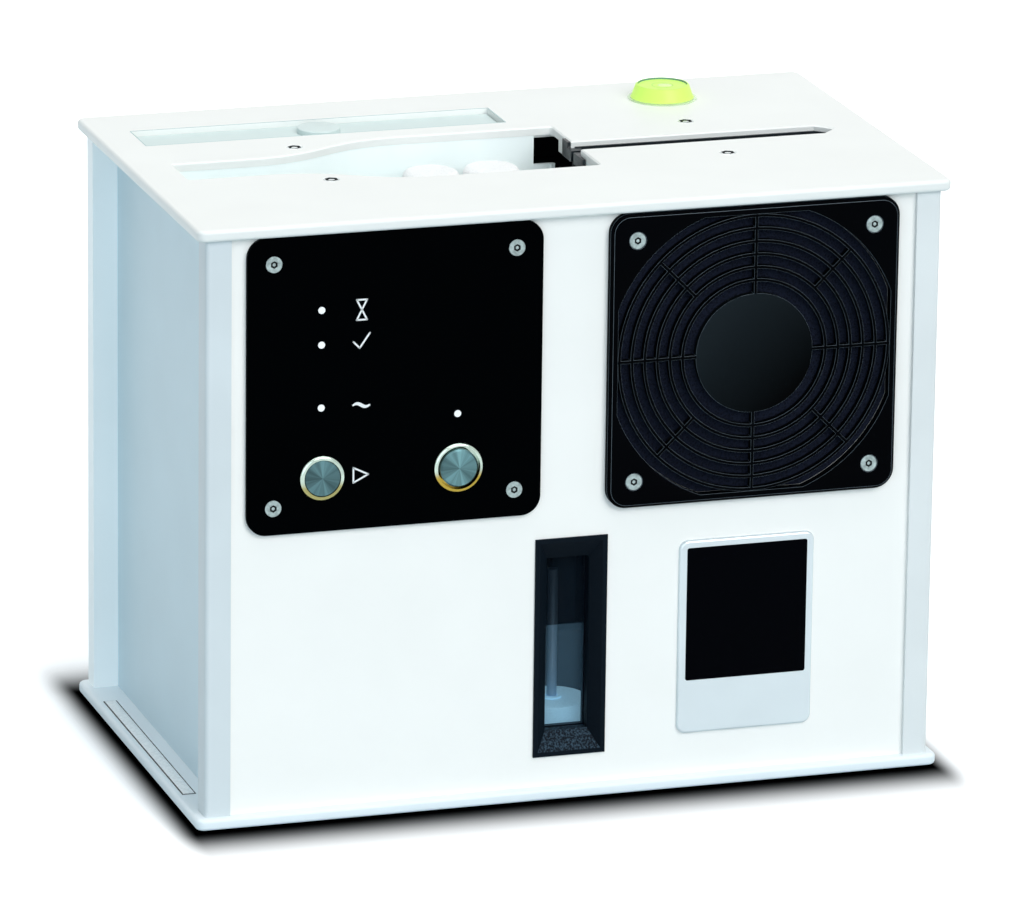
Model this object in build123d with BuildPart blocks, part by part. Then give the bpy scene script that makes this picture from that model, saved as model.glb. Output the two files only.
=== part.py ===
from build123d import *
import math
import os

# Record cleaning machine. A 12 inch record stands on edge in the slot of the top plate. Two wheels
# in the wash trough carry and turn it, four microfibre rollers scrub it, and a fan then dries it.
#
# Units are millimetres. x runs from left to right, y from front to back and z upwards. The origin
# is the middle of the footprint, on the table. Every piece is made in its own place.

# ---------------------------------------------------------------- driving dimensions

# casing
plate_depth = 198.0             # base and top plate, front to back
plate_thickness = 5.0
plate_corner = 4.0              # upright corner radius
plate_edge = 1.6                # rounding of the plates' rims
casing_height = 260.0           # underside of the base plate to the face of the top plate
foot_height = 5.0
foot_diameter = 22.0
foot_taper = 12.0               # degrees
foot_inset = 34.0               # from the plate's edges to the middle of a foot
post_width = 11.0
post_side_inset = 4.0           # from a post's outer face to the plate's side edge
post_front_inset = 2.6          # from a post's outer face to the plate's front or rear edge
post_round = 2.0
panel_thickness = 3.5           # front and rear panels
panel_recess = 2.0              # front panel's face behind the posts' faces
panel_tongue = 2.5              # what a panel reaches into the post's groove
side_thickness = 2.0
side_gap = 0.2                  # ends of the wash trough and the air duct to the side panels
fit_gap = 0.1                   # clearance between pieces that slide together

# screws
screw_radius = 2.0
screw_head_radius = 3.8
screw_socket = 2.5              # across the flats of the hexagon socket
screw_socket_depth = 1.44
front_screw_length = 16.0
deck_screw_length = 12.0
base_screw_length = 16.0

# control panel
control_edge = 11.5             # panel's screws to its edges
control_thickness = 2.0
control_corner = 8.5
control_margin = 21.7           # panel's outer edge to the plates' left edge
control_drop = 5.4              # panel's upper edge below the top plate's face
screw_spacing = 105.0           # square of four screws, as on a 120 mm fan
control_size = screw_spacing + 2 * control_edge
lamp_diameter = 3.0
lamp_offsets = ((-32.0, 31.6), (-32.0, 16.7), (-32.0, -10.4), (27.3, -17.3))     # from the panel's middle
start_offset = -31.6            # start button from the panel's middle
dry_offset = 27.7
button_drop = 40.6              # both buttons below the panel's middle
start_bezel_diameter = 19.6
start_barrel_diameter = 17.8
start_cap_diameter = 15.6
start_cap_rise = 0.0            # cap above the bezel's face
start_cap_bevel = 0.3
start_travel = 1.5
dry_bezel_diameter = 21.6
dry_barrel_diameter = 19.2
dry_gap_width = 0.9             # dark ring between the bezel and the raised cap
dry_cap_diameter = 16.4
dry_cap_rise = 0.8
dry_cap_bevel = 0.7
dry_travel = 1.8
bezel_height = 1.6
bezel_round = 1.28
barrel_length = 24.0
barrel_bore_length = 16.8
button_nut_height = 3.0
button_nut_margin = 2.6         # nut beyond the barrel
button_gap = 0.12
board_length = 84.0
board_height = 70.0
board_thickness = 1.6
board_shift = -2.7              # board's middle from the panel's middle
board_rise = 12.9
board_chip_size = 14.0
board_chip_height = 2.5
board_socket_length = 20.0
board_socket_width = 8.0
board_relay_length = 15.0
board_relay_width = 19.0
board_relay_height = 12.0
board_relay_spacing = 20.0
board_relay_count = 3
board_relay_drop = 22.0         # relays below the board's middle
board_standoff = 11.0
board_pillar_diameter = 6.0
board_pillar_inset = 8.0        # twice a pillar's distance from the board's edges

# fan and its guard
guard_margin = 23.1             # guard's outer edge to the plates' right edge
guard_drop = 5.4                # guard's upper edge below the top plate's face
fan_edge = 7.5                  # fan's screws to its edges
fan_size = screw_spacing + 2 * fan_edge
fan_depth = 25.0
fan_corner = 6.0
fan_rim = 2.2                   # housing between its bore and its edges
fan_bore_radius = fan_size / 2 - fan_rim
fan_hub_radius = 20.0
fan_shaft_radius = 2.0
fan_tip_gap = 1.0
blade_count = 7
blade_pitch = 38.0              # degrees from the plane of rotation
blade_chord = 25.0
blade_thickness = 1.8
blade_camber = 3.0
fan_flange = 3.5                # thickness of the housing's square flanges
fan_wall = 1.6                  # housing's round duct between the flanges
fan_strut_width = 4.0
fan_strut_depth = 3.5
fan_bearing_radius = 5.0
fan_bearing_length = 14.0
fan_cup_wall = 2.5
fan_end_gap = 1.0               # rotor to the struts, and to the housing's front face
guard_screw_edge = 11.6         # guard's screws to its edges
guard_size = screw_spacing + 2 * guard_screw_edge
guard_thickness = 4.2
guard_corner = 8.5
guard_edge = 1.4
guard_frame_width = 3.6         # frame beside the opening's flats
guard_opening_flat = guard_size / 2 - guard_frame_width
guard_opening_bulge = 4.2       # circular opening beyond its flats
guard_opening_radius = guard_opening_flat + guard_opening_bulge
guard_ring_count = 6
guard_ring_spacing = 5.6
guard_ring_gap = 0.75           # outermost ring inside the opening's flats
guard_ring_outer = guard_opening_flat - guard_ring_gap
guard_ring_radii = [guard_ring_outer - guard_ring_spacing * i for i in reversed(range(guard_ring_count))]
guard_hub_gap = 5.85            # hub to the innermost ring's middle
guard_hub_radius = guard_ring_radii[0] - guard_hub_gap
guard_ring_width = 1.3
guard_ring_depth = 3.2
guard_spoke_width = 1.3
guard_setback = 0.3             # ring fronts behind the frame's front
short_spoke_inner = guard_ring_radii[1]
short_spoke_outer = guard_ring_outer
filter_gap = 0.3

# water window
window_x = -0.65
window_z = 71.5
window_width = 31.9
window_height = 96.5
window_proud = 0.8
window_rim = 2.0
window_body_inset = 2.2         # bezel's body inside its flange
window_sight_width = 18.8
window_sight_height = 76.6
window_funnel_depth = 5.0
window_depth = 9.2              # front of the bezel to the pane
pane_thickness = 2.0
pane_lap = 2.0                  # pane beyond the sight opening

# badge plate, left bare
badge_margin = 57.5             # badge's outer edge to the plates' right edge
badge_z = 71.3
badge_width = 60.2
badge_height = 85.8
badge_thickness = 1.8
badge_corner = 4.0
badge_edge = 1.2

# record and its slot
record_radius = 150.6
record_rise = 55.0              # record's axis above the top plate
record_plane_y = -2.5
slot_end_gap = 5.8              # record's edge to the slot's ends, at the top plate's face
lead_half_width = 13.3          # slot's narrow left end
chamber_half_width = 33.8
widening_start = -113.0
widening_end = -39.0
chamber_right = 29.0
narrow_half_width = 6.8
narrow_taper = 7.0              # pointed right end
slot_corner = 1.5
slot_bevel = 0.6

# wash trough and air duct
trough_clearance = 17.4         # record's edge to the trough's floor
trough_wall = 1.6
trough_gap = 0.2                # trough's inner wall behind the slot's edge
rim_rise = 1.4                  # trough's rim let into the top plate's underside
flange_width = 9.0
flange_thickness = 2.5
roller_pad_left = -57.0
roller_pad_right = 28.0
roller_pad_drop = 5.0           # pad's underside below the lowest of the trough's inner floor
boss_x = 88.0
boss_y = 28.0                   # from the record's plane
boss_radius = 6.5
boss_height = 9.0
duct_half_width = 8.8
neck_width = 72.0
neck_shift = 0.2                # neck's middle right of the fan's axis
neck_bottom = 198.0
neck_top = 250.0
neck_length = 32.0
hood_wall = 1.6
hood_flange_thickness = 2.0
nozzle_left = 21.0
nozzle_front = 24.0             # from the record's plane, above the lintel
nozzle_depth = 12.0
nozzle_height = 11.5
nozzle_right = 46.0
lintel_drop = 3.6               # tab under the top plate, between the nozzle and the wiper lips
well_drop = 16.0                # floor of the well right of the chamber, below the top plate

# rollers, gears and their drive
gear_module = 1.5
gear_pressure_angle = 20.0      # degrees
gear_addendum = 0.95            # in modules
gear_dedendum = 1.25
gear_backlash = 0.12            # taken from each flank, at the pitch circle
gear_teeth = 18
pinion_teeth = 12
gear_height = 7.0
roller_middle_x = -18.0
sleeve_radius = 12.5
sleeve_top_gap = 10.0           # sleeve's crown below the top plate's face
sleeve_crown = 2.5
sleeve_skin = 4.0               # closed top of the sleeve
sleeve_start = 11.0             # sleeve's foot above the lowest of the trough's floor
core_radius = 6.0
core_gap = 0.12
spindle_radius = 3.0
running_gap = 0.05
bush_wall = 1.5
bush_length = 4.0
bush_flange = 1.0
bush_flange_width = 1.0
gear_plate_gap = 12.0           # trough's pad to the gear plate
gear_plate_thickness = 4.0
motor_collar_height = 2.0
spindle_seal_gap = 0.3          # spindle in the trough's floor above the bush
gear_lift = 0.4                 # gear above the bush's flange
pillar_radius = 3.0
pillar_spread_x = 20.0
pillar_spread_y = 31.0
gear_plate_margin = 4.5
motor_size = 35.0
motor_height = 15.0
motor_corner = 4.0
motor_shaft_radius = 2.5
motor_collar_radius = 11.0

# record wheels
wheel_radius = 7.0
wheel_width = 6.0
wheel_groove = 1.2
wheel_x = 85.0
wheel_shaft_radius = 2.0
wheel_ear_thickness = 3.0       # ears that carry the left wheel
wheel_ear_gap = 0.5
wheel_ear_width = 12.0
wheel_ear_margin = 3.5          # ear above the shaft
record_motor_radius = 13.0
record_motor_length = 30.0
gearbox_radius = 14.0
gearbox_length = 10.0

# ultrasonic transducers
transducer_spacing = 32.0
transducer_x = -20.0            # middle of the pair
transducer_z = 212.0
transducer_horn_radius = 13.0
transducer_ring_radius = 10.0
transducer_horn_length = 6.0
transducer_horn_taper = 20.0    # degrees
transducer_ring_length = 8.0
transducer_nut_length = 4.0

# water side
tank_left_margin = 21.0         # tank to the plates' left edge
tank_right_margin = 73.0
tank_height = 98.0
tank_wall = 2.5
tank_rear_gap = 3.0             # tank to the rear panel
tank_corner = 6.0
rod_shift = 2.05                # rod's axis right of the window's middle
rod_setback = 20.0              # rod's axis behind the tank's front
rod_radius = 2.15
rod_over = 6.4                  # rod above the float's highest place
rod_foot_radius = 9.0
rod_foot_height = 3.0
rod_stop_radius = 4.5
float_radius = 15.5
float_height = 10.0
float_rest = 29.2               # underside of the float at rest
float_travel = 50.0
float_round = 0.8
float_bore_gap = 0.5
float_collar_radius = 4.1
float_collar_height = 0.9
pump_width = 28.0
pump_depth = 30.0
pump_height = 48.0
pump_corner = 2.5
pump_round = 1.2
pump_x = 11.0
pump_y = -25.0
riser_radius = 5.0
riser_bore = 3.5
riser_x = 19.0
drain_y = 18.0
drain_pipe_radius = 7.0
drain_pipe_bore = 5.0
drain_pipe_foot = 98.0          # open end of the pipe, inside the tank's rim
drain_body_size = 22.0
drain_body_corner = 3.0
drain_body_height = 20.0
drain_body_drop = 12.0          # below the trough
drain_coil_radius = 9.0
drain_coil_length = 24.0

# filter
filter_left_margin = 16.7       # lid's left edge to the plates' left edge
filter_distance = 58.9          # lid's middle behind the record's plane
filter_lid_length = 160.0
filter_lid_width = 25.4
filter_lid_thickness = 1.6
filter_lid_sink = 2.4           # lid's face below the top plate's face
filter_ledge = 4.0
filter_corner = 1.0             # upright corner radius of the lid, its opening and the tray
filter_lid_bevel = 0.6
filter_lid_gap = 0.2
lid_knob_radius = 9.4
lid_knob_round = 0.6
tray_wall = 1.5
tray_depth = 78.0
tray_lip = 3.0
tray_lip_thickness = 2.0
cartridge_height = 66.0
cartridge_gap = 0.3

# spirit level
level_side_margin = 74.0        # level's axis to the plates' right edge
level_rear_margin = 32.5
level_flange_radius = 15.2
level_flange_height = 0.8
level_foot_radius = 13.8
level_top_radius = 11.4
level_height = 6.6
level_round = 0.9

# slot lining and wiper lips
lining_thickness = 1.2
lining_sink = 2.4               # lining below the top plate's face
wiper_gap = 1.5                 # half of the opening between the two lips
wiper_width = 12.6              # lips across the chamber's end wall
wiper_root_width = 4.6          # lips' roots inside the narrow slot
wiper_length = 4.0              # roots reach this far into the narrow slot
wiper_sink = 2.8                # lips below the top plate's face
wiper_depth = 4.9
wiper_reach = 1.6               # lips stand this far into the chamber
wiper_heel_sink = 0.3           # raised heel of the rear lip below the top plate's face

# mains side
inlet_margin = 53.0             # inlet's middle to the plates' right edge
inlet_z = 62.0
inlet_flange_width = 36.0
inlet_flange_height = 62.0
inlet_flange_thickness = 2.0
inlet_body_width = 28.0
inlet_body_height = 50.0
inlet_body_depth = 26.0
socket_width = 24.0
socket_height = 16.4
socket_depth = 16.0
socket_drop = 13.0              # socket's middle below the flange's middle
socket_pin_length = 10.0
socket_pin_width = 2.0
socket_pin_height = 4.0
socket_pin_spread = 7.0         # outer pins from the socket's middle
socket_pin_offset = 2.0         # pins above and below the socket's middle
inlet_corner = 2.0
rocker_rise = 12.0              # rocker's middle above the flange's middle
rocker_width = 13.0
rocker_height = 19.0
rocker_angle = 8.0              # each side of the middle
rocker_depth = 7.0
rocker_gap = 0.4
supply_length = 110.0
supply_width = 42.0
supply_height = 34.0
supply_corner = 2.0
supply_round = 1.5
supply_margin = 45.0            # power supply's middle to the plates' right edge
supply_y = -18.0

# ---------------------------------------------------------------- levels and faces

# The record stands on edge with its lower part in the slot, so its radius sets the casing's length.
slot_half_length = math.sqrt(record_radius**2 - record_rise**2) + slot_end_gap
side_inner = slot_half_length + trough_gap + trough_wall + side_gap
side_face = side_inner + side_thickness
post_side_face = side_face + post_width
plate_length = 2 * (post_side_face + post_side_inset)

floor_level = foot_height + plate_thickness
top_level = foot_height + casing_height
deck_underside = top_level - plate_thickness

post_front_face = plate_depth / 2 - post_front_inset
post_middle_x = post_side_face - post_width / 2
post_middle_y = post_front_face - post_width / 2
panel_face = post_front_face - panel_recess         # distance of the front panel's face from y = 0
panel_back = panel_face - panel_thickness
panel_half_length = side_face + panel_tongue - fit_gap
wall_height = deck_underside - floor_level

control_x = control_margin + (control_size - plate_length) / 2
control_z = top_level - control_drop - control_size / 2
lamp_places = [(control_x + x, control_z + z) for x, z in lamp_offsets]
start_x = control_x + start_offset
dry_x = control_x + dry_offset
button_z = control_z - button_drop
board_x = control_x + board_shift
board_z = control_z + board_rise
fan_x = (plate_length - guard_size) / 2 - guard_margin
fan_z = top_level - guard_drop - guard_size / 2
badge_x = (plate_length - badge_width) / 2 - badge_margin
level_x = plate_length / 2 - level_side_margin
level_y = plate_depth / 2 - level_rear_margin
filter_lid_x = (filter_lid_length - plate_length) / 2 + filter_left_margin
filter_lid_y = record_plane_y + filter_distance
ledge_length = filter_lid_length - 2 * filter_ledge
ledge_width = filter_lid_width - 2 * filter_ledge
inlet_x = plate_length / 2 - inlet_margin
supply_x = plate_length / 2 - supply_margin

control_face = panel_face + control_thickness
guard_face = panel_face + guard_thickness
bezel_face = control_face + bezel_height

record_axis_z = top_level + record_rise
trough_inner_radius = record_radius + trough_clearance
trough_outer_radius = trough_inner_radius + trough_wall
trough_floor = record_axis_z - trough_inner_radius
pad_underside = trough_floor - roller_pad_drop
roller_pad_middle = (roller_pad_left + roller_pad_right) / 2
gear_plate_top = pad_underside - gear_plate_gap
gear_plate_underside = gear_plate_top - gear_plate_thickness
gear_level = gear_plate_top + bush_flange + gear_lift
chamber_front_face = -record_plane_y + chamber_half_width + trough_gap + trough_wall

gear_distance = gear_module * gear_teeth
pinion_distance = gear_module * (gear_teeth + pinion_teeth) / 2
roller_places = {
    "front_left": (roller_middle_x - gear_distance / 2, record_plane_y - gear_distance / 2),
    "front_right": (roller_middle_x + gear_distance / 2, record_plane_y - gear_distance / 2),
    "rear_left": (roller_middle_x - gear_distance / 2, record_plane_y + gear_distance / 2),
    "rear_right": (roller_middle_x + gear_distance / 2, record_plane_y + gear_distance / 2),
}
pinion_x = roller_places["front_left"][0] - pinion_distance
pinion_y = roller_places["front_left"][1]

wheel_orbit = record_radius + wheel_radius - wheel_groove
wheel_z = record_axis_z - math.sqrt(wheel_orbit**2 - wheel_x**2)

window_front = panel_face + window_proud
pane_front = window_front - window_depth
tank_front = pane_front - pane_thickness
tank_left = tank_left_margin - plate_length / 2
tank_right = plate_length / 2 - tank_right_margin
rod_x = window_x + rod_shift
rod_y = rod_setback - tank_front
tank_rear = panel_back - tank_rear_gap
tank_floor = floor_level + tank_wall
rod_top = float_rest + float_height + float_collar_height + float_travel + rod_over


def front_plane(distance):
    """Upright plane that faces the front, at y = -distance; its local axes are x and z."""
    return Plane.XZ.offset(distance)


def rear_plane(distance):
    """Upright plane with local axes x and z, at y = +distance; extrusions by + go to the front."""
    return Plane.XZ.offset(-distance)


def square_places(middle_x, middle_z, spacing):
    """Four corners of a square of screws, as (x, z) pairs."""
    half = spacing / 2
    return [(middle_x + i * half, middle_z + j * half) for j in (-1, 1) for i in (-1, 1)]


def corner_places(half_x, half_y):
    """Four corners about the origin, as (x, y) pairs."""
    return [(i * half_x, j * half_y) for j in (-1, 1) for i in (-1, 1)]


os.makedirs("parts", exist_ok=True)


def finish_part(builder, name):
    """Label a finished piece and write its STEP file."""
    builder.part.label = name
    export_step(builder.part, f"parts/{name}.step")


# ---------------------------------------------------------------- outlines shared by several pieces


def chamber_outline(end_growth, side_growth):
    """Wash chamber seen from above: a narrow left end that widens in an S to the roller bay."""
    left = -slot_half_length - end_growth
    widening_middle = (widening_start + widening_end) / 2
    right = chamber_right + end_growth
    narrow = record_plane_y + lead_half_width + side_growth
    wide = record_plane_y + chamber_half_width + side_growth
    with BuildSketch() as outline:
        with BuildLine():
            Polyline((right, record_plane_y), (right, wide), (widening_end, wide))
            Bezier(
                (widening_end, wide),
                (widening_middle, wide),
                (widening_middle, narrow),
                (widening_start, narrow),
            )
            Polyline((widening_start, narrow), (left, narrow), (left, record_plane_y))
            mirror(about=Plane.XZ.offset(-record_plane_y))
        make_face()
        fillet(outline.vertices().group_by(Axis.X)[0], slot_corner)
        fillet(outline.vertices().group_by(Axis.X)[-1], slot_corner)
    return outline.sketch


def narrow_outline(growth):
    """Narrow right part of the slot, with a pointed end; it starts inside the chamber's right end."""
    start = chamber_right - slot_corner
    half = narrow_half_width + growth
    taper = slot_half_length - narrow_taper
    with BuildSketch() as outline:
        with BuildLine():
            Polyline((start, record_plane_y), (start, record_plane_y + half), (taper, record_plane_y + half))
            Line((taper, record_plane_y + half), (slot_half_length + growth, record_plane_y))
            mirror(about=Plane.XZ.offset(-record_plane_y))
        make_face()
    return outline.sketch


def gear_outline(teeth, first_tooth):
    """Spur gear with involute flanks in two chords each; first_tooth is a tooth's bearing in degrees."""
    pressure = math.radians(gear_pressure_angle)
    pitch_radius = gear_module * teeth / 2
    base_radius = pitch_radius * math.cos(pressure)
    tip_radius = pitch_radius + gear_addendum * gear_module
    root_radius = pitch_radius - gear_dedendum * gear_module

    def half_angle(radius):
        roll = math.acos(min(1.0, base_radius / max(radius, base_radius)))
        at_pitch = math.pi / (2 * teeth) + math.tan(pressure) - pressure
        return at_pitch - (math.tan(roll) - roll) - gear_backlash / pitch_radius

    flank = [(radius, half_angle(radius)) for radius in (root_radius, pitch_radius, tip_radius)]
    tooth = [(r, -a) for r, a in flank] + [(r, a) for r, a in reversed(flank)]
    points = []
    for i in range(teeth):
        bearing = math.radians(first_tooth) + 2 * math.pi * i / teeth
        points += [(r * math.cos(bearing + a), r * math.sin(bearing + a)) for r, a in tooth]
    with BuildSketch() as outline:
        with BuildLine():
            Polyline(*points, close=True)
        make_face()
    return outline.sketch


slot_outline = chamber_outline(0, 0)
narrow_slot = narrow_outline(0)
trough_inside = chamber_outline(trough_gap, trough_gap)
trough_outside = chamber_outline(trough_gap + trough_wall, trough_gap + trough_wall)
rim_seat = chamber_outline(trough_gap + trough_wall + fit_gap, trough_gap + trough_wall + fit_gap)
flange_outside = chamber_outline(trough_gap + trough_wall, trough_gap + trough_wall + flange_width)

with BuildSketch() as guard_opening_sketch:
    Circle(guard_opening_radius)
    Rectangle(2 * guard_opening_flat, 2 * guard_opening_flat, mode=Mode.INTERSECT)
guard_opening = guard_opening_sketch.sketch

# ---------------------------------------------------------------- casing

with BuildPart() as base_plate:
    with BuildSketch(Plane.XY.offset(foot_height)):
        RectangleRounded(plate_length, plate_depth, plate_corner)
    extrude(amount=plate_thickness)
    fillet(base_plate.edges().group_by(Axis.Z)[-1], plate_edge)
    fillet(base_plate.edges().group_by(Axis.Z)[0], plate_edge)
    for x, y in corner_places(post_middle_x, post_middle_y):
        with Locations(Location((x, y, foot_height), (180, 0, 0))):
            CounterSinkHole(screw_radius + fit_gap, screw_head_radius, plate_thickness)
finish_part(base_plate, "base_plate")

lintel_width = nozzle_front - narrow_half_width - slot_corner

with BuildPart() as top_plate:
    with BuildSketch(Plane.XY.offset(deck_underside)):
        RectangleRounded(plate_length, plate_depth, plate_corner)
    extrude(amount=plate_thickness)
    fillet(top_plate.edges().group_by(Axis.Z)[-1], plate_edge)
    fillet(top_plate.edges().group_by(Axis.Z)[0], plate_edge)
    with BuildSketch(Plane.XY.offset(deck_underside)):
        add(slot_outline)
        add(narrow_slot)
    extrude(amount=plate_thickness, mode=Mode.SUBTRACT)
    # seat of the trough's rim
    with BuildSketch(Plane.XY.offset(deck_underside)):
        add(rim_seat)
    extrude(amount=rim_rise, mode=Mode.SUBTRACT)
    # tab that closes the chamber's end between the nozzle and the wiper lips
    with BuildSketch(Plane.XY.offset(deck_underside + rim_rise)):
        with Locations((chamber_right, record_plane_y + narrow_half_width + slot_corner)):
            Rectangle(trough_gap + trough_wall, lintel_width, align=(Align.MIN, Align.MIN))
    extrude(amount=-(rim_rise + lintel_drop))
    slot_rim = top_plate.edges().filter_by_position(Axis.Z, top_level, top_level)
    slot_rim = slot_rim.filter_by(lambda rim: abs(rim.center().Y - record_plane_y) < chamber_half_width + 1)
    slot_rim = slot_rim.filter_by(lambda rim: abs(rim.center().X) < slot_half_length + 1)
    chamfer(slot_rim, slot_bevel)
    with BuildSketch(Plane.XY.offset(top_level)):
        with Locations((filter_lid_x, filter_lid_y)):
            RectangleRounded(
                filter_lid_length + 2 * filter_lid_gap, filter_lid_width + 2 * filter_lid_gap, filter_corner
            )
    extrude(amount=-(filter_lid_sink + filter_lid_thickness), mode=Mode.SUBTRACT)
    with BuildSketch(Plane.XY.offset(deck_underside)):
        with Locations((filter_lid_x, filter_lid_y)):
            RectangleRounded(ledge_length, ledge_width, filter_corner)
    extrude(amount=plate_thickness, mode=Mode.SUBTRACT)
    with Locations(*[(x, record_plane_y + y, top_level) for x, y in corner_places(boss_x, boss_y)]):
        CounterSinkHole(screw_radius + fit_gap, screw_head_radius, plate_thickness)
finish_part(top_plate, "top_plate")

for post_name, side, end in (
    ("corner_post_front_left", -1, -1),
    ("corner_post_front_right", 1, -1),
    ("corner_post_rear_left", -1, 1),
    ("corner_post_rear_right", 1, 1),
):
    with BuildPart() as corner_post:
        with BuildSketch(Plane.XY.offset(floor_level)) as section:
            with Locations((side * post_middle_x, end * post_middle_y)):
                Rectangle(post_width, post_width)
            outer_corner = (side * post_side_face, end * post_front_face)
            fillet(section.vertices().sort_by_distance(outer_corner)[0], post_round)
            with Locations((side * (side_face + panel_tongue / 2), end * (panel_face - panel_thickness / 2))):
                Rectangle(panel_tongue, panel_thickness + 2 * fit_gap, mode=Mode.SUBTRACT)
        extrude(amount=wall_height)
        with Locations(Location((side * post_middle_x, end * post_middle_y, floor_level), (180, 0, 0))):
            Hole(screw_radius, base_screw_length)
    finish_part(corner_post, post_name)

with BuildPart() as front_panel:
    with BuildSketch(front_plane(panel_back)):
        with Locations((0, floor_level + wall_height / 2)):
            Rectangle(2 * panel_half_length, wall_height)
        with Locations((fan_x, fan_z)):
            add(guard_opening, mode=Mode.SUBTRACT)
        with Locations((window_x, window_z)):
            Rectangle(
                window_width - 2 * window_body_inset + 2 * fit_gap,
                window_height - 2 * window_body_inset + 2 * fit_gap,
                mode=Mode.SUBTRACT,
            )
        with Locations(*square_places(control_x, control_z, screw_spacing)):
            Circle(screw_radius + fit_gap, mode=Mode.SUBTRACT)
        with Locations(*square_places(fan_x, fan_z, screw_spacing)):
            Circle(screw_radius + fit_gap, mode=Mode.SUBTRACT)
        with Locations((start_x, button_z)):
            Circle(start_barrel_diameter / 2 + fit_gap, mode=Mode.SUBTRACT)
        with Locations((dry_x, button_z)):
            Circle(dry_barrel_diameter / 2 + fit_gap, mode=Mode.SUBTRACT)
        with Locations(*lamp_places):
            Circle(lamp_diameter / 2 + fit_gap, mode=Mode.SUBTRACT)
    extrude(amount=panel_thickness)
    with BuildSketch(front_plane(panel_back)):
        with Locations((board_x, board_z)):
            with GridLocations(board_length - board_pillar_inset, board_height - board_pillar_inset, 2, 2):
                Circle(board_pillar_diameter / 2)
    extrude(amount=-board_standoff)
finish_part(front_panel, "front_panel")

with BuildPart() as rear_panel:
    with BuildSketch(rear_plane(panel_face)):
        with Locations((0, floor_level + wall_height / 2)):
            Rectangle(2 * panel_half_length, wall_height)
        with Locations((inlet_x, inlet_z)):
            Rectangle(inlet_body_width + 2 * fit_gap, inlet_body_height + 2 * fit_gap, mode=Mode.SUBTRACT)
    extrude(amount=panel_thickness)
finish_part(rear_panel, "rear_panel")

for panel_name, side in (("side_panel_left", -1), ("side_panel_right", 1)):
    with BuildPart() as side_panel:
        with BuildSketch(Plane.XY.offset(floor_level)):
            with Locations((side * (side_face - side_thickness / 2), 0)):
                Rectangle(side_thickness, 2 * (panel_back - fit_gap))
        extrude(amount=wall_height)
    finish_part(side_panel, panel_name)

with BuildPart() as rubber_feet:
    with BuildSketch(Plane.XY.offset(foot_height)):
        with Locations(*corner_places(plate_length / 2 - foot_inset, plate_depth / 2 - foot_inset)):
            Circle(foot_diameter / 2)
    extrude(amount=-foot_height, taper=foot_taper)
finish_part(rubber_feet, "rubber_feet")

# ---------------------------------------------------------------- screws


def countersunk_screw(length):
    """Countersunk screw along z, its head's face at z = 0, with a hexagon socket."""
    head_depth = screw_head_radius - screw_radius
    with BuildPart() as screw:
        with BuildSketch(Plane.XZ):
            with BuildLine():
                Polyline(
                    (0, 0),
                    (screw_head_radius, 0),
                    (screw_radius, -head_depth),
                    (screw_radius, -length),
                    (0, -length),
                    close=True,
                )
            make_face()
        revolve(axis=Axis.Z)
        with BuildSketch():
            RegularPolygon(screw_socket / 2, 6, major_radius=False)
        extrude(amount=-screw_socket_depth, mode=Mode.SUBTRACT)
    return screw.part


front_screw = countersunk_screw(front_screw_length)
deck_screw = countersunk_screw(deck_screw_length)
base_screw = countersunk_screw(base_screw_length)

with BuildPart() as front_screws:
    for x, z in square_places(control_x, control_z, screw_spacing):
        with Locations(Location((x, -control_face, z), (90, 0, 0))):
            add(front_screw)
    for x, z in square_places(fan_x, fan_z, screw_spacing):
        with Locations(Location((x, -guard_face, z), (90, 0, 0))):
            add(front_screw)
finish_part(front_screws, "front_screws")

with BuildPart() as top_screws:
    for x, y in corner_places(boss_x, boss_y):
        with Locations((x, record_plane_y + y, top_level)):
            add(deck_screw)
finish_part(top_screws, "top_screws")

with BuildPart() as base_screws:
    for x, y in corner_places(post_middle_x, post_middle_y):
        with Locations(Location((x, y, foot_height), (180, 0, 0))):
            add(base_screw)
finish_part(base_screws, "base_screws")

# ---------------------------------------------------------------- control panel

with BuildPart() as control_panel:
    with BuildSketch(front_plane(panel_face)):
        with Locations((control_x, control_z)):
            RectangleRounded(control_size, control_size, control_corner)
        with Locations((start_x, button_z)):
            Circle(start_barrel_diameter / 2 + fit_gap, mode=Mode.SUBTRACT)
        with Locations((dry_x, button_z)):
            Circle(dry_barrel_diameter / 2 + fit_gap, mode=Mode.SUBTRACT)
        with Locations(*lamp_places):
            Circle(lamp_diameter / 2 + fit_gap, mode=Mode.SUBTRACT)
    extrude(amount=control_thickness)
    for x, z in square_places(control_x, control_z, screw_spacing):
        with Locations(Location((x, -control_face, z), (90, 0, 0))):
            CounterSinkHole(screw_radius + fit_gap, screw_head_radius, control_thickness)
finish_part(control_panel, "control_panel")

with BuildPart() as light_pipes:
    with BuildSketch(front_plane(panel_back - board_standoff)):
        with Locations(*lamp_places):
            Circle(lamp_diameter / 2)
    extrude(amount=control_face - panel_back + board_standoff)
finish_part(light_pipes, "light_pipes")


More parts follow.
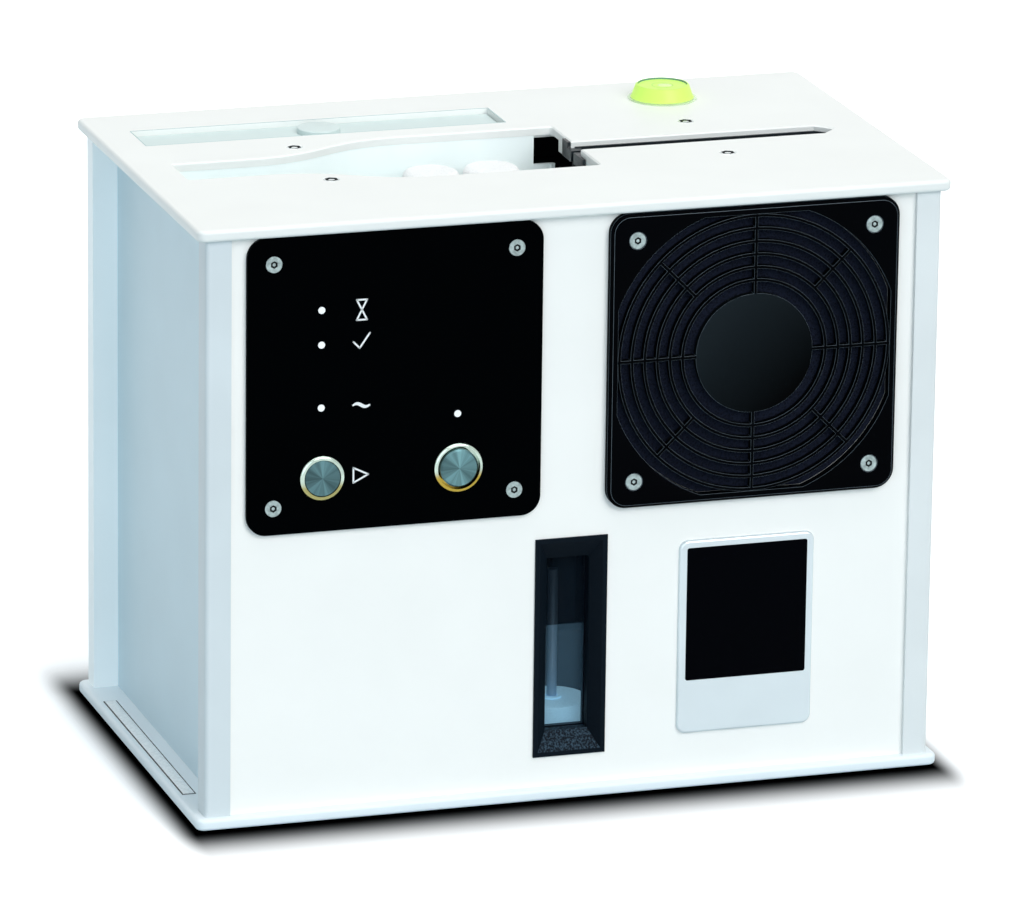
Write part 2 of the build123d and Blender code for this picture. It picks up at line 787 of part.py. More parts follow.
def button_housing(place_x, bezel_diameter, barrel_diameter, cap_diameter, ring_gap, travel):
    """Fixed part of a push button: rounded bezel, barrel, nut, and the bore that its cap runs in."""
    head_depth = bezel_height + travel + button_gap
    nut_back = panel_back - button_nut_height
    with BuildPart() as housing:
        with BuildSketch(front_plane(control_face)):
            with Locations((place_x, button_z)):
                Circle(bezel_diameter / 2)
        extrude(amount=bezel_height)
        fillet(housing.edges().sort_by(Axis.Y)[0], bezel_round)
        with BuildSketch(front_plane(control_face)):
            with Locations((place_x, button_z)):
                Circle(barrel_diameter / 2)
        extrude(amount=-barrel_length)
        with BuildSketch(front_plane(panel_back)):
            with Locations((place_x, button_z)):
                RegularPolygon(barrel_diameter / 2 + button_nut_margin, 6, major_radius=False)
        extrude(amount=nut_back - panel_back)
        with BuildSketch(front_plane(bezel_face)):
            with Locations((place_x, button_z)):
                Circle(cap_diameter / 2 + button_gap + ring_gap)
        extrude(amount=-head_depth, mode=Mode.SUBTRACT)
        with BuildSketch(front_plane(bezel_face)):
            with Locations((place_x, button_z)):
                Circle(cap_diameter / 4 + button_gap)
        extrude(amount=-(bezel_height + barrel_bore_length), mode=Mode.SUBTRACT)
    return housing


def button_cap(place_x, cap_diameter, rise, edge):
    """Moving part of a push button: turned head and stem."""
    stem_length = barrel_bore_length - 2 * start_travel
    with BuildPart() as cap:
        with BuildSketch(front_plane(bezel_face + rise)):
            with Locations((place_x, button_z)):
                Circle(cap_diameter / 2)
        extrude(amount=-(bezel_height + rise))
        chamfer(cap.edges().sort_by(Axis.Y)[0], edge)
        with BuildSketch(front_plane(bezel_face)):
            with Locations((place_x, button_z)):
                Circle(cap_diameter / 4)
        extrude(amount=-(bezel_height + stem_length))
    return cap


start_button_housing = button_housing(
    start_x, start_bezel_diameter, start_barrel_diameter, start_cap_diameter, 0, start_travel
)
finish_part(start_button_housing, "start_button_housing")
start_button_cap = button_cap(start_x, start_cap_diameter, start_cap_rise, start_cap_bevel)
finish_part(start_button_cap, "start_button_cap")

dry_button_housing = button_housing(
    dry_x, dry_bezel_diameter, dry_barrel_diameter, dry_cap_diameter, dry_gap_width, dry_travel
)
finish_part(dry_button_housing, "dry_button_housing")
dry_button_cap = button_cap(dry_x, dry_cap_diameter, dry_cap_rise, dry_cap_bevel)
finish_part(dry_button_cap, "dry_button_cap")

with BuildPart() as control_board:
    with BuildSketch(front_plane(panel_back - board_standoff)):
        with Locations((board_x, board_z)):
            Rectangle(board_length, board_height)
    extrude(amount=-board_thickness)
    component_plane = front_plane(panel_back - board_standoff - board_thickness)
    with BuildSketch(component_plane):
        with Locations((board_x, board_z)):
            Rectangle(board_chip_size, board_chip_size)
            with Locations((board_socket_length - board_length / 2, board_length / 4)):
                Rectangle(board_socket_length, board_socket_width)
    extrude(amount=-board_chip_height)
    with BuildSketch(component_plane):
        with Locations((board_x, board_z)):
            with GridLocations(board_relay_spacing, 1, board_relay_count, 1):
                with Locations((0, -board_relay_drop)):
                    Rectangle(board_relay_length, board_relay_width)
    extrude(amount=-board_relay_height)
finish_part(control_board, "control_board")

# ---------------------------------------------------------------- fan group

with BuildSketch() as grille_sketch:
    for ring_radius in reversed(guard_ring_radii):
        Circle(ring_radius + guard_ring_width / 2)
        Circle(ring_radius - guard_ring_width / 2, mode=Mode.SUBTRACT)
    Rectangle(2 * guard_opening_flat + guard_edge, guard_spoke_width)
    Rectangle(guard_spoke_width, 2 * guard_opening_flat + guard_edge)
    with PolarLocations((short_spoke_inner + short_spoke_outer) / 2, 4, start_angle=45):
        Rectangle(short_spoke_outer - short_spoke_inner, guard_spoke_width)
    Circle(guard_hub_radius)
grille = grille_sketch.sketch

with BuildPart() as fan_guard:
    with BuildSketch(front_plane(panel_face)):
        with Locations((fan_x, fan_z)):
            RectangleRounded(guard_size, guard_size, guard_corner)
    extrude(amount=guard_thickness)
    chamfer(fan_guard.edges().group_by(Axis.Y)[0], guard_edge)
    with BuildSketch(front_plane(panel_face)):
        with Locations((fan_x, fan_z)):
            add(guard_opening)
    extrude(amount=guard_thickness, mode=Mode.SUBTRACT)
    with BuildSketch(front_plane(guard_face - guard_setback)):
        with Locations((fan_x, fan_z)):
            add(grille)
    extrude(amount=-guard_ring_depth)
    for x, z in square_places(fan_x, fan_z, screw_spacing):
        with Locations(Location((x, -guard_face, z), (90, 0, 0))):
            CounterSinkHole(screw_radius + fit_gap, screw_head_radius, guard_thickness)
finish_part(fan_guard, "fan_guard")

filter_flat = 2 * (guard_opening_flat - filter_gap)
with BuildPart() as fan_filter:
    with BuildSketch(front_plane(panel_back)):
        with Locations((fan_x, fan_z)):
            Circle(guard_opening_radius - filter_gap)
            Rectangle(filter_flat, filter_flat, mode=Mode.INTERSECT)
    extrude(amount=panel_thickness + guard_thickness - guard_setback - guard_ring_depth - filter_gap)
finish_part(fan_filter, "fan_filter")

fan_back = panel_back - fan_depth
with BuildPart() as fan_housing:
    with BuildSketch(front_plane(fan_back)):
        with Locations((fan_x, fan_z)):
            RectangleRounded(fan_size, fan_size, fan_corner)
    extrude(amount=fan_depth)
    with BuildSketch(front_plane(fan_back + fan_flange)):
        with Locations((fan_x, fan_z)):
            Rectangle(fan_size, fan_size)
            Circle(fan_bore_radius + fan_wall, mode=Mode.SUBTRACT)
    extrude(amount=fan_depth - 2 * fan_flange, mode=Mode.SUBTRACT)
    with BuildSketch(front_plane(fan_back)):
        with Locations((fan_x, fan_z)):
            Circle(fan_bore_radius)
    extrude(amount=fan_depth, mode=Mode.SUBTRACT)
    with BuildSketch(front_plane(fan_back)):
        with Locations((fan_x, fan_z)):
            Rectangle(2 * fan_bore_radius + fan_wall, fan_strut_width)
            Rectangle(fan_strut_width, 2 * fan_bore_radius + fan_wall)
            Circle(fan_hub_radius)
    extrude(amount=fan_strut_depth)
    with BuildSketch(front_plane(fan_back)):
        with Locations((fan_x, fan_z)):
            Circle(fan_bearing_radius)
    extrude(amount=fan_bearing_length)
    with BuildSketch(front_plane(fan_back)):
        with Locations((fan_x, fan_z)):
            Circle(fan_shaft_radius + running_gap)
    extrude(amount=fan_bearing_length, mode=Mode.SUBTRACT)
    with BuildSketch(front_plane(fan_back)):
        with Locations(*square_places(fan_x, fan_z, screw_spacing)):
            Circle(screw_radius + fit_gap)
    extrude(amount=fan_depth, mode=Mode.SUBTRACT)
finish_part(fan_housing, "fan_housing")

# The rotor is modelled about z, its closed face up, and then laid into the housing.
hub_depth = fan_depth - fan_strut_depth - 2 * fan_end_gap
blade_plane = Plane(
    origin=(fan_hub_radius - fan_cup_wall, 0, hub_depth / 2),
    x_dir=(0, math.cos(math.radians(blade_pitch)), math.sin(math.radians(blade_pitch))),
    z_dir=(1, 0, 0),
)
with BuildPart() as fan_blade:
    with BuildSketch(blade_plane):
        with BuildLine():
            ThreePointArc((-blade_chord / 2, 0), (0, blade_camber), (blade_chord / 2, 0))
            ThreePointArc((blade_chord / 2, 0), (0, blade_camber + blade_thickness), (-blade_chord / 2, 0))
        make_face()
    extrude(amount=fan_bore_radius - fan_hub_radius + fan_cup_wall)

with BuildPart() as rotor_form:
    with BuildSketch():
        Circle(fan_hub_radius)
    extrude(amount=hub_depth)
    fillet(rotor_form.edges().group_by(Axis.Z)[-1], fan_cup_wall)
    with PolarLocations(0, blade_count):
        add(fan_blade.part)
    with BuildSketch():
        Circle(fan_bore_radius - fan_tip_gap)
    extrude(amount=hub_depth, mode=Mode.INTERSECT)
    with BuildSketch():
        Circle(fan_hub_radius - fan_cup_wall)
    extrude(amount=hub_depth - 2 * fan_cup_wall, mode=Mode.SUBTRACT)
    with BuildSketch(Plane.XY.offset(fan_end_gap - fan_strut_depth)):
        Circle(fan_shaft_radius)
    extrude(amount=hub_depth + fan_strut_depth - fan_end_gap - fan_cup_wall)

with BuildPart() as fan_rotor:
    with Locations(Location((fan_x, -fan_back - fan_strut_depth - fan_end_gap, fan_z), (90, 0, 0))):
        add(rotor_form.part)
finish_part(fan_rotor, "fan_rotor")

# ---------------------------------------------------------------- air duct

pocket_left = chamber_right + trough_gap + trough_wall + fit_gap
pocket_right = slot_half_length + trough_gap + trough_wall
pocket_middle = (pocket_left + pocket_right) / 2
pocket_length = pocket_right - pocket_left - 2 * trough_wall
pocket_front = -record_plane_y + duct_half_width + trough_wall
pocket_rear = record_plane_y + duct_half_width + trough_wall
neck_front = pocket_front + neck_length
neck_middle = (fan_x + neck_shift, (neck_bottom + neck_top) / 2)
neck_height = neck_top - neck_bottom
hood_mouth = 2 * (fan_bore_radius - hood_wall)
nozzle_rear = record_plane_y + chamber_half_width + trough_gap + trough_wall + nozzle_depth
well_left = chamber_right + trough_gap
well_rear = record_plane_y + chamber_half_width + trough_gap
nozzle_middle_x = (nozzle_left + nozzle_right) / 2
nozzle_length = nozzle_right - nozzle_left


def pocket_form(growth, radius):
    """Blade-shaped pocket for the right part of the record, curved about the record's axis below."""
    with BuildPart() as form:
        with BuildSketch(Plane.XY.offset(pad_underside)):
            with Locations((pocket_middle, record_plane_y)):
                Rectangle(pocket_length + 2 * growth, 2 * (duct_half_width + growth))
        extrude(amount=deck_underside - pad_underside)
        with BuildSketch(Plane.XZ):
            with Locations((0, record_axis_z)):
                Circle(radius)
        extrude(amount=plate_depth, both=True, mode=Mode.INTERSECT)
    return form.part


def hood_form(growth, reach):
    """Neck from the pocket's front wall and hood that widens from it to the fan."""
    with BuildPart() as form:
        with BuildSketch(front_plane(pocket_front - reach)):
            with Locations(neck_middle):
                Rectangle(neck_width + 2 * growth, neck_height + 2 * growth)
        extrude(amount=neck_length + reach)
        with BuildSketch(front_plane(neck_front)):
            with Locations(neck_middle):
                Rectangle(neck_width + 2 * growth, neck_height + 2 * growth)
        with BuildSketch(front_plane(fan_back)):
            with Locations((fan_x, fan_z)):
                Rectangle(hood_mouth + 2 * growth, hood_mouth + 2 * growth)
        loft(ruled=True)
    return form.part


def nozzle_form(growth):
    """Box round the chamber's rear right corner, closed by the top plate, and the well beside it."""
    with BuildPart() as form:
        with BuildSketch(Plane.XY.offset(deck_underside)):
            with Locations((nozzle_middle_x, (pocket_rear + nozzle_rear) / 2)):
                Rectangle(nozzle_length + 2 * growth, nozzle_rear - pocket_rear + 2 * growth)
        extrude(amount=-(nozzle_height + growth))
        with BuildSketch(Plane.XY.offset(deck_underside)):
            with Locations(((well_left + nozzle_right) / 2, (pocket_rear + well_rear) / 2)):
                Rectangle(nozzle_right - well_left + 2 * growth, well_rear - pocket_rear + 2 * growth)
        extrude(amount=-(well_drop + growth))
    return form.part


def trough_form(outline, radius, pad_length):
    """Trough's body or its hollow: an outline seen from above, curved about the record's axis below.

    The body also has a flat-bottomed pad for the rollers, pad_length long; the hollow has none.
    """
    with BuildPart() as form:
        with BuildSketch(Plane.XY.offset(pad_underside)):
            add(outline)
        extrude(amount=deck_underside + rim_rise - pad_underside)
        with BuildSketch(Plane.XZ):
            with Locations((0, record_axis_z)):
                Circle(radius)
            if pad_length > 0:
                with Locations((roller_pad_middle, (pad_underside + deck_underside) / 2)):
                    Rectangle(pad_length, deck_underside - pad_underside)
        extrude(amount=plate_depth, both=True, mode=Mode.INTERSECT)
    return form.part


trough_body = trough_form(trough_outside, trough_outer_radius, roller_pad_right - roller_pad_left)
pocket_body = pocket_form(trough_wall, trough_outer_radius)
pocket_hollow = pocket_form(0, trough_inner_radius)
hood_body = hood_form(hood_wall, 0)
hood_hollow = hood_form(0, trough_wall)
nozzle_body = nozzle_form(hood_wall)
nozzle_hollow = nozzle_form(0)

with BuildPart() as drying_duct:
    add(pocket_body)
    add(hood_body)
    add(nozzle_body)
    with BuildSketch(front_plane(fan_back)):
        with Locations((fan_x, fan_z)):
            RectangleRounded(fan_size, fan_size, fan_corner)
    extrude(amount=-hood_flange_thickness)
    # ears that the two right deck screws pull against the top plate
    with BuildSketch(Plane.XY.offset(deck_underside)):
        with Locations((boss_x, record_plane_y)):
            SlotCenterToCenter(2 * boss_y, 4 * boss_radius, rotation=90)
    extrude(amount=-flange_thickness)
    with BuildSketch(Plane.XY.offset(deck_underside)):
        with Locations((boss_x, record_plane_y - boss_y), (boss_x, record_plane_y + boss_y)):
            Circle(boss_radius)
    extrude(amount=-boss_height)
    add(trough_body, mode=Mode.SUBTRACT)
    add(pocket_hollow, mode=Mode.SUBTRACT)
    add(hood_hollow, mode=Mode.SUBTRACT)
    add(nozzle_hollow, mode=Mode.SUBTRACT)
    # way of the record through the pocket's left wall
    with BuildSketch(Plane.YZ.offset(pocket_left)):
        with Locations((record_plane_y, (record_axis_z - record_radius + deck_underside) / 2)):
            Rectangle(2 * narrow_half_width, deck_underside - record_axis_z + record_radius)
    extrude(amount=2 * trough_wall, mode=Mode.SUBTRACT)
    # holes for the deck screws, the fan's screws and the driven wheel's shaft
    for boss_place in (record_plane_y - boss_y, record_plane_y + boss_y):
        with Locations((boss_x, boss_place, deck_underside)):
            Hole(screw_radius + fit_gap, boss_height)
    with BuildSketch(front_plane(fan_back)):
        with Locations(*square_places(fan_x, fan_z, screw_spacing)):
            Circle(screw_radius + fit_gap)
    extrude(amount=-hood_flange_thickness, mode=Mode.SUBTRACT)
    with BuildSketch(rear_plane(pocket_rear)):
        with Locations((wheel_x, wheel_z)):
            Circle(wheel_shaft_radius + running_gap)
    extrude(amount=trough_wall, mode=Mode.SUBTRACT)
finish_part(drying_duct, "drying_duct")

# ---------------------------------------------------------------- water window, float and tank

with BuildPart() as window_bezel:
    with BuildSketch(front_plane(panel_face)):
        with Locations((window_x, window_z)):
            Rectangle(window_width, window_height)
    extrude(amount=window_proud)
    with BuildSketch(front_plane(pane_front)):
        with Locations((window_x, window_z)):
            Rectangle(window_width - 2 * window_body_inset, window_height - 2 * window_body_inset)
    extrude(amount=panel_face - pane_front)
    with BuildSketch(front_plane(pane_front)):
        with Locations((window_x, window_z)):
            Rectangle(window_sight_width, window_sight_height)
    extrude(amount=window_depth, mode=Mode.SUBTRACT)
    with BuildSketch(front_plane(window_front)):
        with Locations((window_x, window_z)):
            Rectangle(window_width - 2 * window_rim, window_height - 2 * window_rim)
    with BuildSketch(front_plane(window_front - window_funnel_depth)):
        with Locations((window_x, window_z)):
            Rectangle(window_sight_width, window_sight_height)
    loft(ruled=True, mode=Mode.SUBTRACT)
finish_part(window_bezel, "window_bezel")

with BuildPart() as window_pane:
    with BuildSketch(front_plane(tank_front)):
        with Locations((window_x, window_z)):
            RectangleRounded(window_sight_width + 2 * pane_lap, window_sight_height + 2 * pane_lap, pane_lap)
    extrude(amount=pane_thickness)
finish_part(window_pane, "window_pane")

tank_length = tank_right - tank_left
tank_depth = tank_front + tank_rear
tank_middle = ((tank_left + tank_right) / 2, (tank_rear - tank_front) / 2)

with BuildPart() as water_tank:
    with BuildSketch(Plane.XY.offset(floor_level)):
        with Locations(tank_middle):
            RectangleRounded(tank_length, tank_depth, tank_corner)
    extrude(amount=tank_height)
    with BuildSketch(Plane.XY.offset(tank_floor)):
        with Locations(tank_middle):
            RectangleRounded(tank_length - 2 * tank_wall, tank_depth - 2 * tank_wall, tank_corner - tank_wall)
    extrude(amount=tank_height, mode=Mode.SUBTRACT)
    with BuildSketch(front_plane(tank_front)):
        with Locations((window_x, window_z)):
            Rectangle(window_sight_width, window_sight_height)
    extrude(amount=-tank_wall, mode=Mode.SUBTRACT)
finish_part(water_tank, "water_tank")

with BuildPart() as float_rod:
    with BuildSketch(Plane.XY.offset(tank_floor)):
        with Locations((rod_x, rod_y)):
            Circle(rod_foot_radius)
    extrude(amount=rod_foot_height)
    with BuildSketch(Plane.XY.offset(tank_floor)):
        with Locations((rod_x, rod_y)):
            Circle(rod_stop_radius)
    extrude(amount=float_rest - tank_floor - running_gap)
    with BuildSketch(Plane.XY.offset(tank_floor)):
        with Locations((rod_x, rod_y)):
            Circle(rod_radius)
    extrude(amount=rod_top - tank_floor)
finish_part(float_rod, "float_rod")

with BuildPart() as level_float:
    with BuildSketch(Plane.XY.offset(float_rest)):
        with Locations((rod_x, rod_y)):
            Circle(float_radius)
    extrude(amount=float_height)
    fillet(level_float.edges().filter_by(GeomType.CIRCLE), float_round)
    with BuildSketch(Plane.XY.offset(float_rest)):
        with Locations((rod_x, rod_y)):
            Circle(float_collar_radius)
    extrude(amount=float_height + float_collar_height)
    with BuildSketch(Plane.XY.offset(float_rest)):
        with Locations((rod_x, rod_y)):
            Circle(rod_radius + float_bore_gap)
    extrude(amount=float_height + float_collar_height, mode=Mode.SUBTRACT)
finish_part(level_float, "level_float")

with BuildPart() as water_pump:
    with BuildSketch(Plane.XY.offset(tank_floor)):
        with Locations((pump_x, pump_y)):
            RectangleRounded(pump_width, pump_depth, pump_corner)
    extrude(amount=pump_height)
    fillet(water_pump.edges().group_by(Axis.Z)[-1], pump_round)
    with BuildSketch(Plane.XY.offset(tank_floor + pump_height)):
        with Locations((riser_x, pump_y)):
            Circle(riser_radius)
    extrude(amount=pad_underside - tank_floor - pump_height)
    with BuildSketch(Plane.XY.offset(tank_floor + pump_height)):
        with Locations((riser_x, pump_y)):
            Circle(riser_bore)
    extrude(amount=pad_underside - tank_floor - pump_height, mode=Mode.SUBTRACT)
finish_part(water_pump, "water_pump")

drain_body_top = pad_underside - drain_body_drop
with BuildPart() as drain_valve:
    with BuildSketch(Plane.XY.offset(drain_pipe_foot)):
        with Locations((riser_x, drain_y)):
            Circle(drain_pipe_radius)
    extrude(amount=pad_underside - drain_pipe_foot)
    with BuildSketch(Plane.XY.offset(drain_body_top)):
        with Locations((riser_x, drain_y)):
            RectangleRounded(drain_body_size, drain_body_size, drain_body_corner)
    extrude(amount=-drain_body_height)
    with BuildSketch(Plane.YZ.offset(riser_x + drain_body_size / 2)):
        with Locations((drain_y, drain_body_top - drain_body_height / 2)):
            Circle(drain_coil_radius)
    extrude(amount=drain_coil_length)
    with BuildSketch(Plane.XY.offset(drain_pipe_foot)):
        with Locations((riser_x, drain_y)):
            Circle(drain_pipe_bore)
    extrude(amount=pad_underside - drain_pipe_foot, mode=Mode.SUBTRACT)
finish_part(drain_valve, "drain_valve")

# ---------------------------------------------------------------- wash trough

trough_hollow = trough_form(trough_inside, trough_inner_radius, 0)
bush_radius = spindle_radius + running_gap + bush_wall
ear_offset = wheel_width / 2 + wheel_ear_gap + wheel_ear_thickness / 2
chamber_rear_face = record_plane_y + chamber_half_width + trough_gap + trough_wall
ear_top = wheel_z + wheel_shaft_radius + wheel_ear_margin
rim_top = deck_underside + rim_rise
nozzle_mouth_depth = nozzle_rear - record_plane_y - nozzle_front
well_mouth_width = well_rear - record_plane_y - narrow_half_width

# Two ears on the trough's curved floor carry the left record wheel's shaft.
with BuildPart() as wheel_ears:
    with BuildSketch(Plane.XY.offset(pad_underside)):
        with Locations((-wheel_x, record_plane_y - ear_offset), (-wheel_x, record_plane_y + ear_offset)):
            Rectangle(wheel_ear_width, wheel_ear_thickness)
    extrude(amount=ear_top - pad_underside)
    with BuildSketch(Plane.XZ):
        with Locations((0, record_axis_z)):
            Circle(trough_outer_radius)
    extrude(amount=plate_depth, both=True, mode=Mode.INTERSECT)
    with BuildSketch(Plane.XZ):
        with Locations((-wheel_x, wheel_z)):
            Circle(wheel_shaft_radius + running_gap)
    extrude(amount=plate_depth, both=True, mode=Mode.SUBTRACT)

with BuildPart() as wash_trough:
    add(trough_body)
    with BuildSketch(Plane.XY.offset(deck_underside)):
        add(flange_outside)
    extrude(amount=-flange_thickness)
    with BuildSketch(Plane.XY.offset(deck_underside)):
        with Locations((-boss_x, record_plane_y - boss_y), (-boss_x, record_plane_y + boss_y)):
            Circle(boss_radius)
    extrude(amount=-boss_height)
    add(trough_hollow, mode=Mode.SUBTRACT)
    add(wheel_ears)
    # way of the record into the duct, and the corner where the nozzle opens
    with BuildSketch(Plane.YZ.offset(chamber_right)):
        with Locations((record_plane_y, (record_axis_z - record_radius + rim_top) / 2)):
            Rectangle(2 * narrow_half_width, rim_top - record_axis_z + record_radius)
    extrude(amount=flange_width, mode=Mode.SUBTRACT)
    with BuildSketch(Plane.XY.offset(rim_top)):
        with Locations((nozzle_left, record_plane_y + nozzle_front)):
            Rectangle(nozzle_depth, nozzle_mouth_depth, align=(Align.MIN, Align.MIN))
    extrude(amount=-(nozzle_height + rim_rise), mode=Mode.SUBTRACT)
    with BuildSketch(Plane.YZ.offset(chamber_right)):
        with Locations((record_plane_y + narrow_half_width, deck_underside - well_drop)):
            Rectangle(well_mouth_width, well_drop + rim_rise, align=(Align.MIN, Align.MIN))
    extrude(amount=flange_width, mode=Mode.SUBTRACT)
    with BuildSketch(Plane.XY.offset(deck_underside)):
        with Locations((nozzle_middle_x, (chamber_rear_face + nozzle_rear) / 2)):
            Rectangle(nozzle_length + 2 * hood_wall + 2 * fit_gap, nozzle_rear - chamber_rear_face)
    extrude(amount=-flange_thickness, mode=Mode.SUBTRACT)
    # seats of the spindles' bushes, water ways and screw holes
    for spindle_x, spindle_y in roller_places.values():
        with Locations(Location((spindle_x, spindle_y, pad_underside), (180, 0, 0))):
            Hole(bush_radius, bush_length)
            Hole(spindle_radius + spindle_seal_gap, sleeve_start + roller_pad_drop)
    with Locations(Location((riser_x, pump_y, pad_underside), (180, 0, 0))):
        Hole(riser_bore, 2 * roller_pad_drop + trough_wall)
    with Locations(Location((riser_x, drain_y, pad_underside), (180, 0, 0))):
        Hole(drain_pipe_bore, 2 * roller_pad_drop + trough_wall)
    for boss_place in (record_plane_y - boss_y, record_plane_y + boss_y):
        with Locations((-boss_x, boss_place, deck_underside)):
            Hole(screw_radius + fit_gap, boss_height)
finish_part(wash_trough, "wash_trough")

wiper_heel_width = wiper_gap + wiper_width - narrow_half_width - fit_gap

with BuildPart() as slot_lining:
    with BuildSketch(Plane.XY.offset(deck_underside + fit_gap)):
        add(narrow_outline(-fit_gap))
        add(narrow_outline(-fit_gap - lining_thickness), mode=Mode.SUBTRACT)
        with Locations((chamber_right, record_plane_y)):
            Rectangle(2 * slot_corner + 2 * fit_gap, 2 * chamber_half_width, mode=Mode.SUBTRACT)
    extrude(amount=plate_thickness - lining_sink)
    # two wiper lips at the mouth of the narrow slot, one on each side of the record
    with BuildSketch(Plane.XY.offset(top_level - wiper_sink)):
        for side in (-1, 1):
            lip_middle = record_plane_y + side * (wiper_gap + wiper_width / 2)
            root_middle = record_plane_y + side * (wiper_gap + wiper_root_width / 2)
            with Locations((chamber_right - wiper_reach, lip_middle)):
                Rectangle(wiper_reach - fit_gap, wiper_width, align=(Align.MIN, Align.CENTER))
            with Locations((chamber_right - wiper_reach, root_middle)):
                Rectangle(wiper_reach + wiper_length, wiper_root_width, align=(Align.MIN, Align.CENTER))
    extrude(amount=-wiper_depth)
    with BuildSketch(Plane.XY.offset(top_level - wiper_heel_sink)):
        with Locations((chamber_right - wiper_reach, record_plane_y + narrow_half_width + fit_gap)):
            Rectangle(wiper_reach - fit_gap, wiper_heel_width, align=(Align.MIN, Align.MIN))
    extrude(amount=wiper_heel_sink - wiper_sink)
finish_part(slot_lining, "slot_lining")

# ---------------------------------------------------------------- rollers and their drive


def roller_spindle(place, gear):
    """Spindle of a roller, with its gear below the trough and the core that carries the sleeve."""
    core_foot = trough_floor + sleeve_start
    core_top = top_level - sleeve_top_gap - sleeve_skin - fit_gap
    with BuildPart() as spindle:
        with BuildSketch(Plane.XY.offset(gear_plate_underside)):
            with Locations(place):
                Circle(spindle_radius)
        extrude(amount=core_foot - gear_plate_underside)
        with BuildSketch(Plane.XY.offset(core_foot)):
            with Locations(place):
                Circle(core_radius)
        extrude(amount=core_top - core_foot)
        with BuildSketch(Plane.XY.offset(gear_level)):
            with Locations(place):
                add(gear)
        extrude(amount=gear_height)
    return spindle


def roller_sleeve(place):
    """Microfibre sleeve with a closed, crowned top."""
    sleeve_foot = trough_floor + sleeve_start
    sleeve_top = top_level - sleeve_top_gap
    with BuildPart() as sleeve:
        with BuildSketch(Plane.XY.offset(sleeve_foot)):
            with Locations(place):
                Circle(sleeve_radius)
        extrude(amount=sleeve_top - sleeve_foot)
        fillet(sleeve.edges().group_by(Axis.Z)[-1], sleeve_crown)
        with BuildSketch(Plane.XY.offset(sleeve_foot)):
            with Locations(place):
                Circle(core_radius + core_gap)
        extrude(amount=sleeve_top - sleeve_foot - sleeve_skin, mode=Mode.SUBTRACT)
    return sleeve


# Neighbouring gears mesh, so a tooth of one stands opposite a gap of the next.
gear_tooth_along_x = gear_outline(gear_teeth, 0)
gear_tooth_along_y = gear_outline(gear_teeth, 90)
pinion_outline = gear_outline(pinion_teeth, 0)
roller_gears = {
    "front_left": gear_tooth_along_y,
    "front_right": gear_tooth_along_x,
    "rear_left": gear_tooth_along_x,
    "rear_right": gear_tooth_along_y,
}
for roller_name, place in roller_places.items():
    finish_part(roller_spindle(place, roller_gears[roller_name]), f"roller_spindle_{roller_name}")
    finish_part(roller_sleeve(place), f"roller_sleeve_{roller_name}")

with BuildPart() as spindle_bushes:
    for spindle_x, spindle_y in roller_places.values():
        for seat, up in ((gear_plate_top, 1), (pad_underside, -1)):
            with BuildSketch(Plane.XY.offset(seat)):
                with Locations((spindle_x, spindle_y)):
                    Circle(bush_radius + bush_flange_width)
                    Circle(spindle_radius + running_gap, mode=Mode.SUBTRACT)
            extrude(amount=up * bush_flange)
            with BuildSketch(Plane.XY.offset(seat)):
                with Locations((spindle_x, spindle_y)):
                    Circle(bush_radius)
                    Circle(spindle_radius + running_gap, mode=Mode.SUBTRACT)
            extrude(amount=-up * bush_length)
finish_part(spindle_bushes, "spindle_bushes")

gear_plate_left = pinion_x - motor_size / 2 - gear_plate_margin
gear_plate_right = roller_middle_x + pillar_spread_x + pillar_radius + gear_plate_margin / 2
with BuildPart() as gear_plate:
    with BuildSketch(Plane.XY.offset(gear_plate_underside)):
        with Locations(((gear_plate_left + gear_plate_right) / 2, record_plane_y)):
            RectangleRounded(
                gear_plate_right - gear_plate_left,
                2 * (pillar_spread_y + pillar_radius + gear_plate_margin / 2),
                gear_plate_margin,
            )
        with Locations(*roller_places.values()):
            Circle(bush_radius, mode=Mode.SUBTRACT)
        with Locations((pinion_x, pinion_y)):
            Circle(motor_collar_radius + fit_gap, mode=Mode.SUBTRACT)
    extrude(amount=gear_plate_thickness)
    with BuildSketch(Plane.XY.offset(gear_plate_top)):
        with Locations((roller_middle_x, record_plane_y)):
            with GridLocations(2 * pillar_spread_x, 2 * pillar_spread_y, 2, 2):
                Circle(pillar_radius)
    extrude(amount=gear_plate_gap)
finish_part(gear_plate, "gear_plate")

with BuildPart() as roller_motor:
    with BuildSketch(Plane.XY.offset(gear_plate_underside)):
        with Locations((pinion_x, pinion_y)):
            RectangleRounded(motor_size, motor_size, motor_corner)
    extrude(amount=-motor_height)
    with BuildSketch(Plane.XY.offset(gear_plate_underside)):
        with Locations((pinion_x, pinion_y)):
            Circle(motor_collar_radius)
    extrude(amount=motor_collar_height)
    with BuildSketch(Plane.XY.offset(gear_plate_underside - motor_height)):
        with Locations((pinion_x, pinion_y)):
            Circle(motor_shaft_radius + running_gap)
    extrude(amount=motor_height + motor_collar_height, mode=Mode.SUBTRACT)
finish_part(roller_motor, "roller_motor")

with BuildPart() as motor_pinion:
    with BuildSketch(Plane.XY.offset(gear_plate_underside - motor_height)):
        with Locations((pinion_x, pinion_y)):
            Circle(motor_shaft_radius)
    extrude(amount=gear_level + gear_height - gear_plate_underside + motor_height)
    with BuildSketch(Plane.XY.offset(gear_level)):
        with Locations((pinion_x, pinion_y)):
            add(pinion_outline)
    extrude(amount=gear_height)
finish_part(motor_pinion, "motor_pinion")

# ---------------------------------------------------------------- record wheels


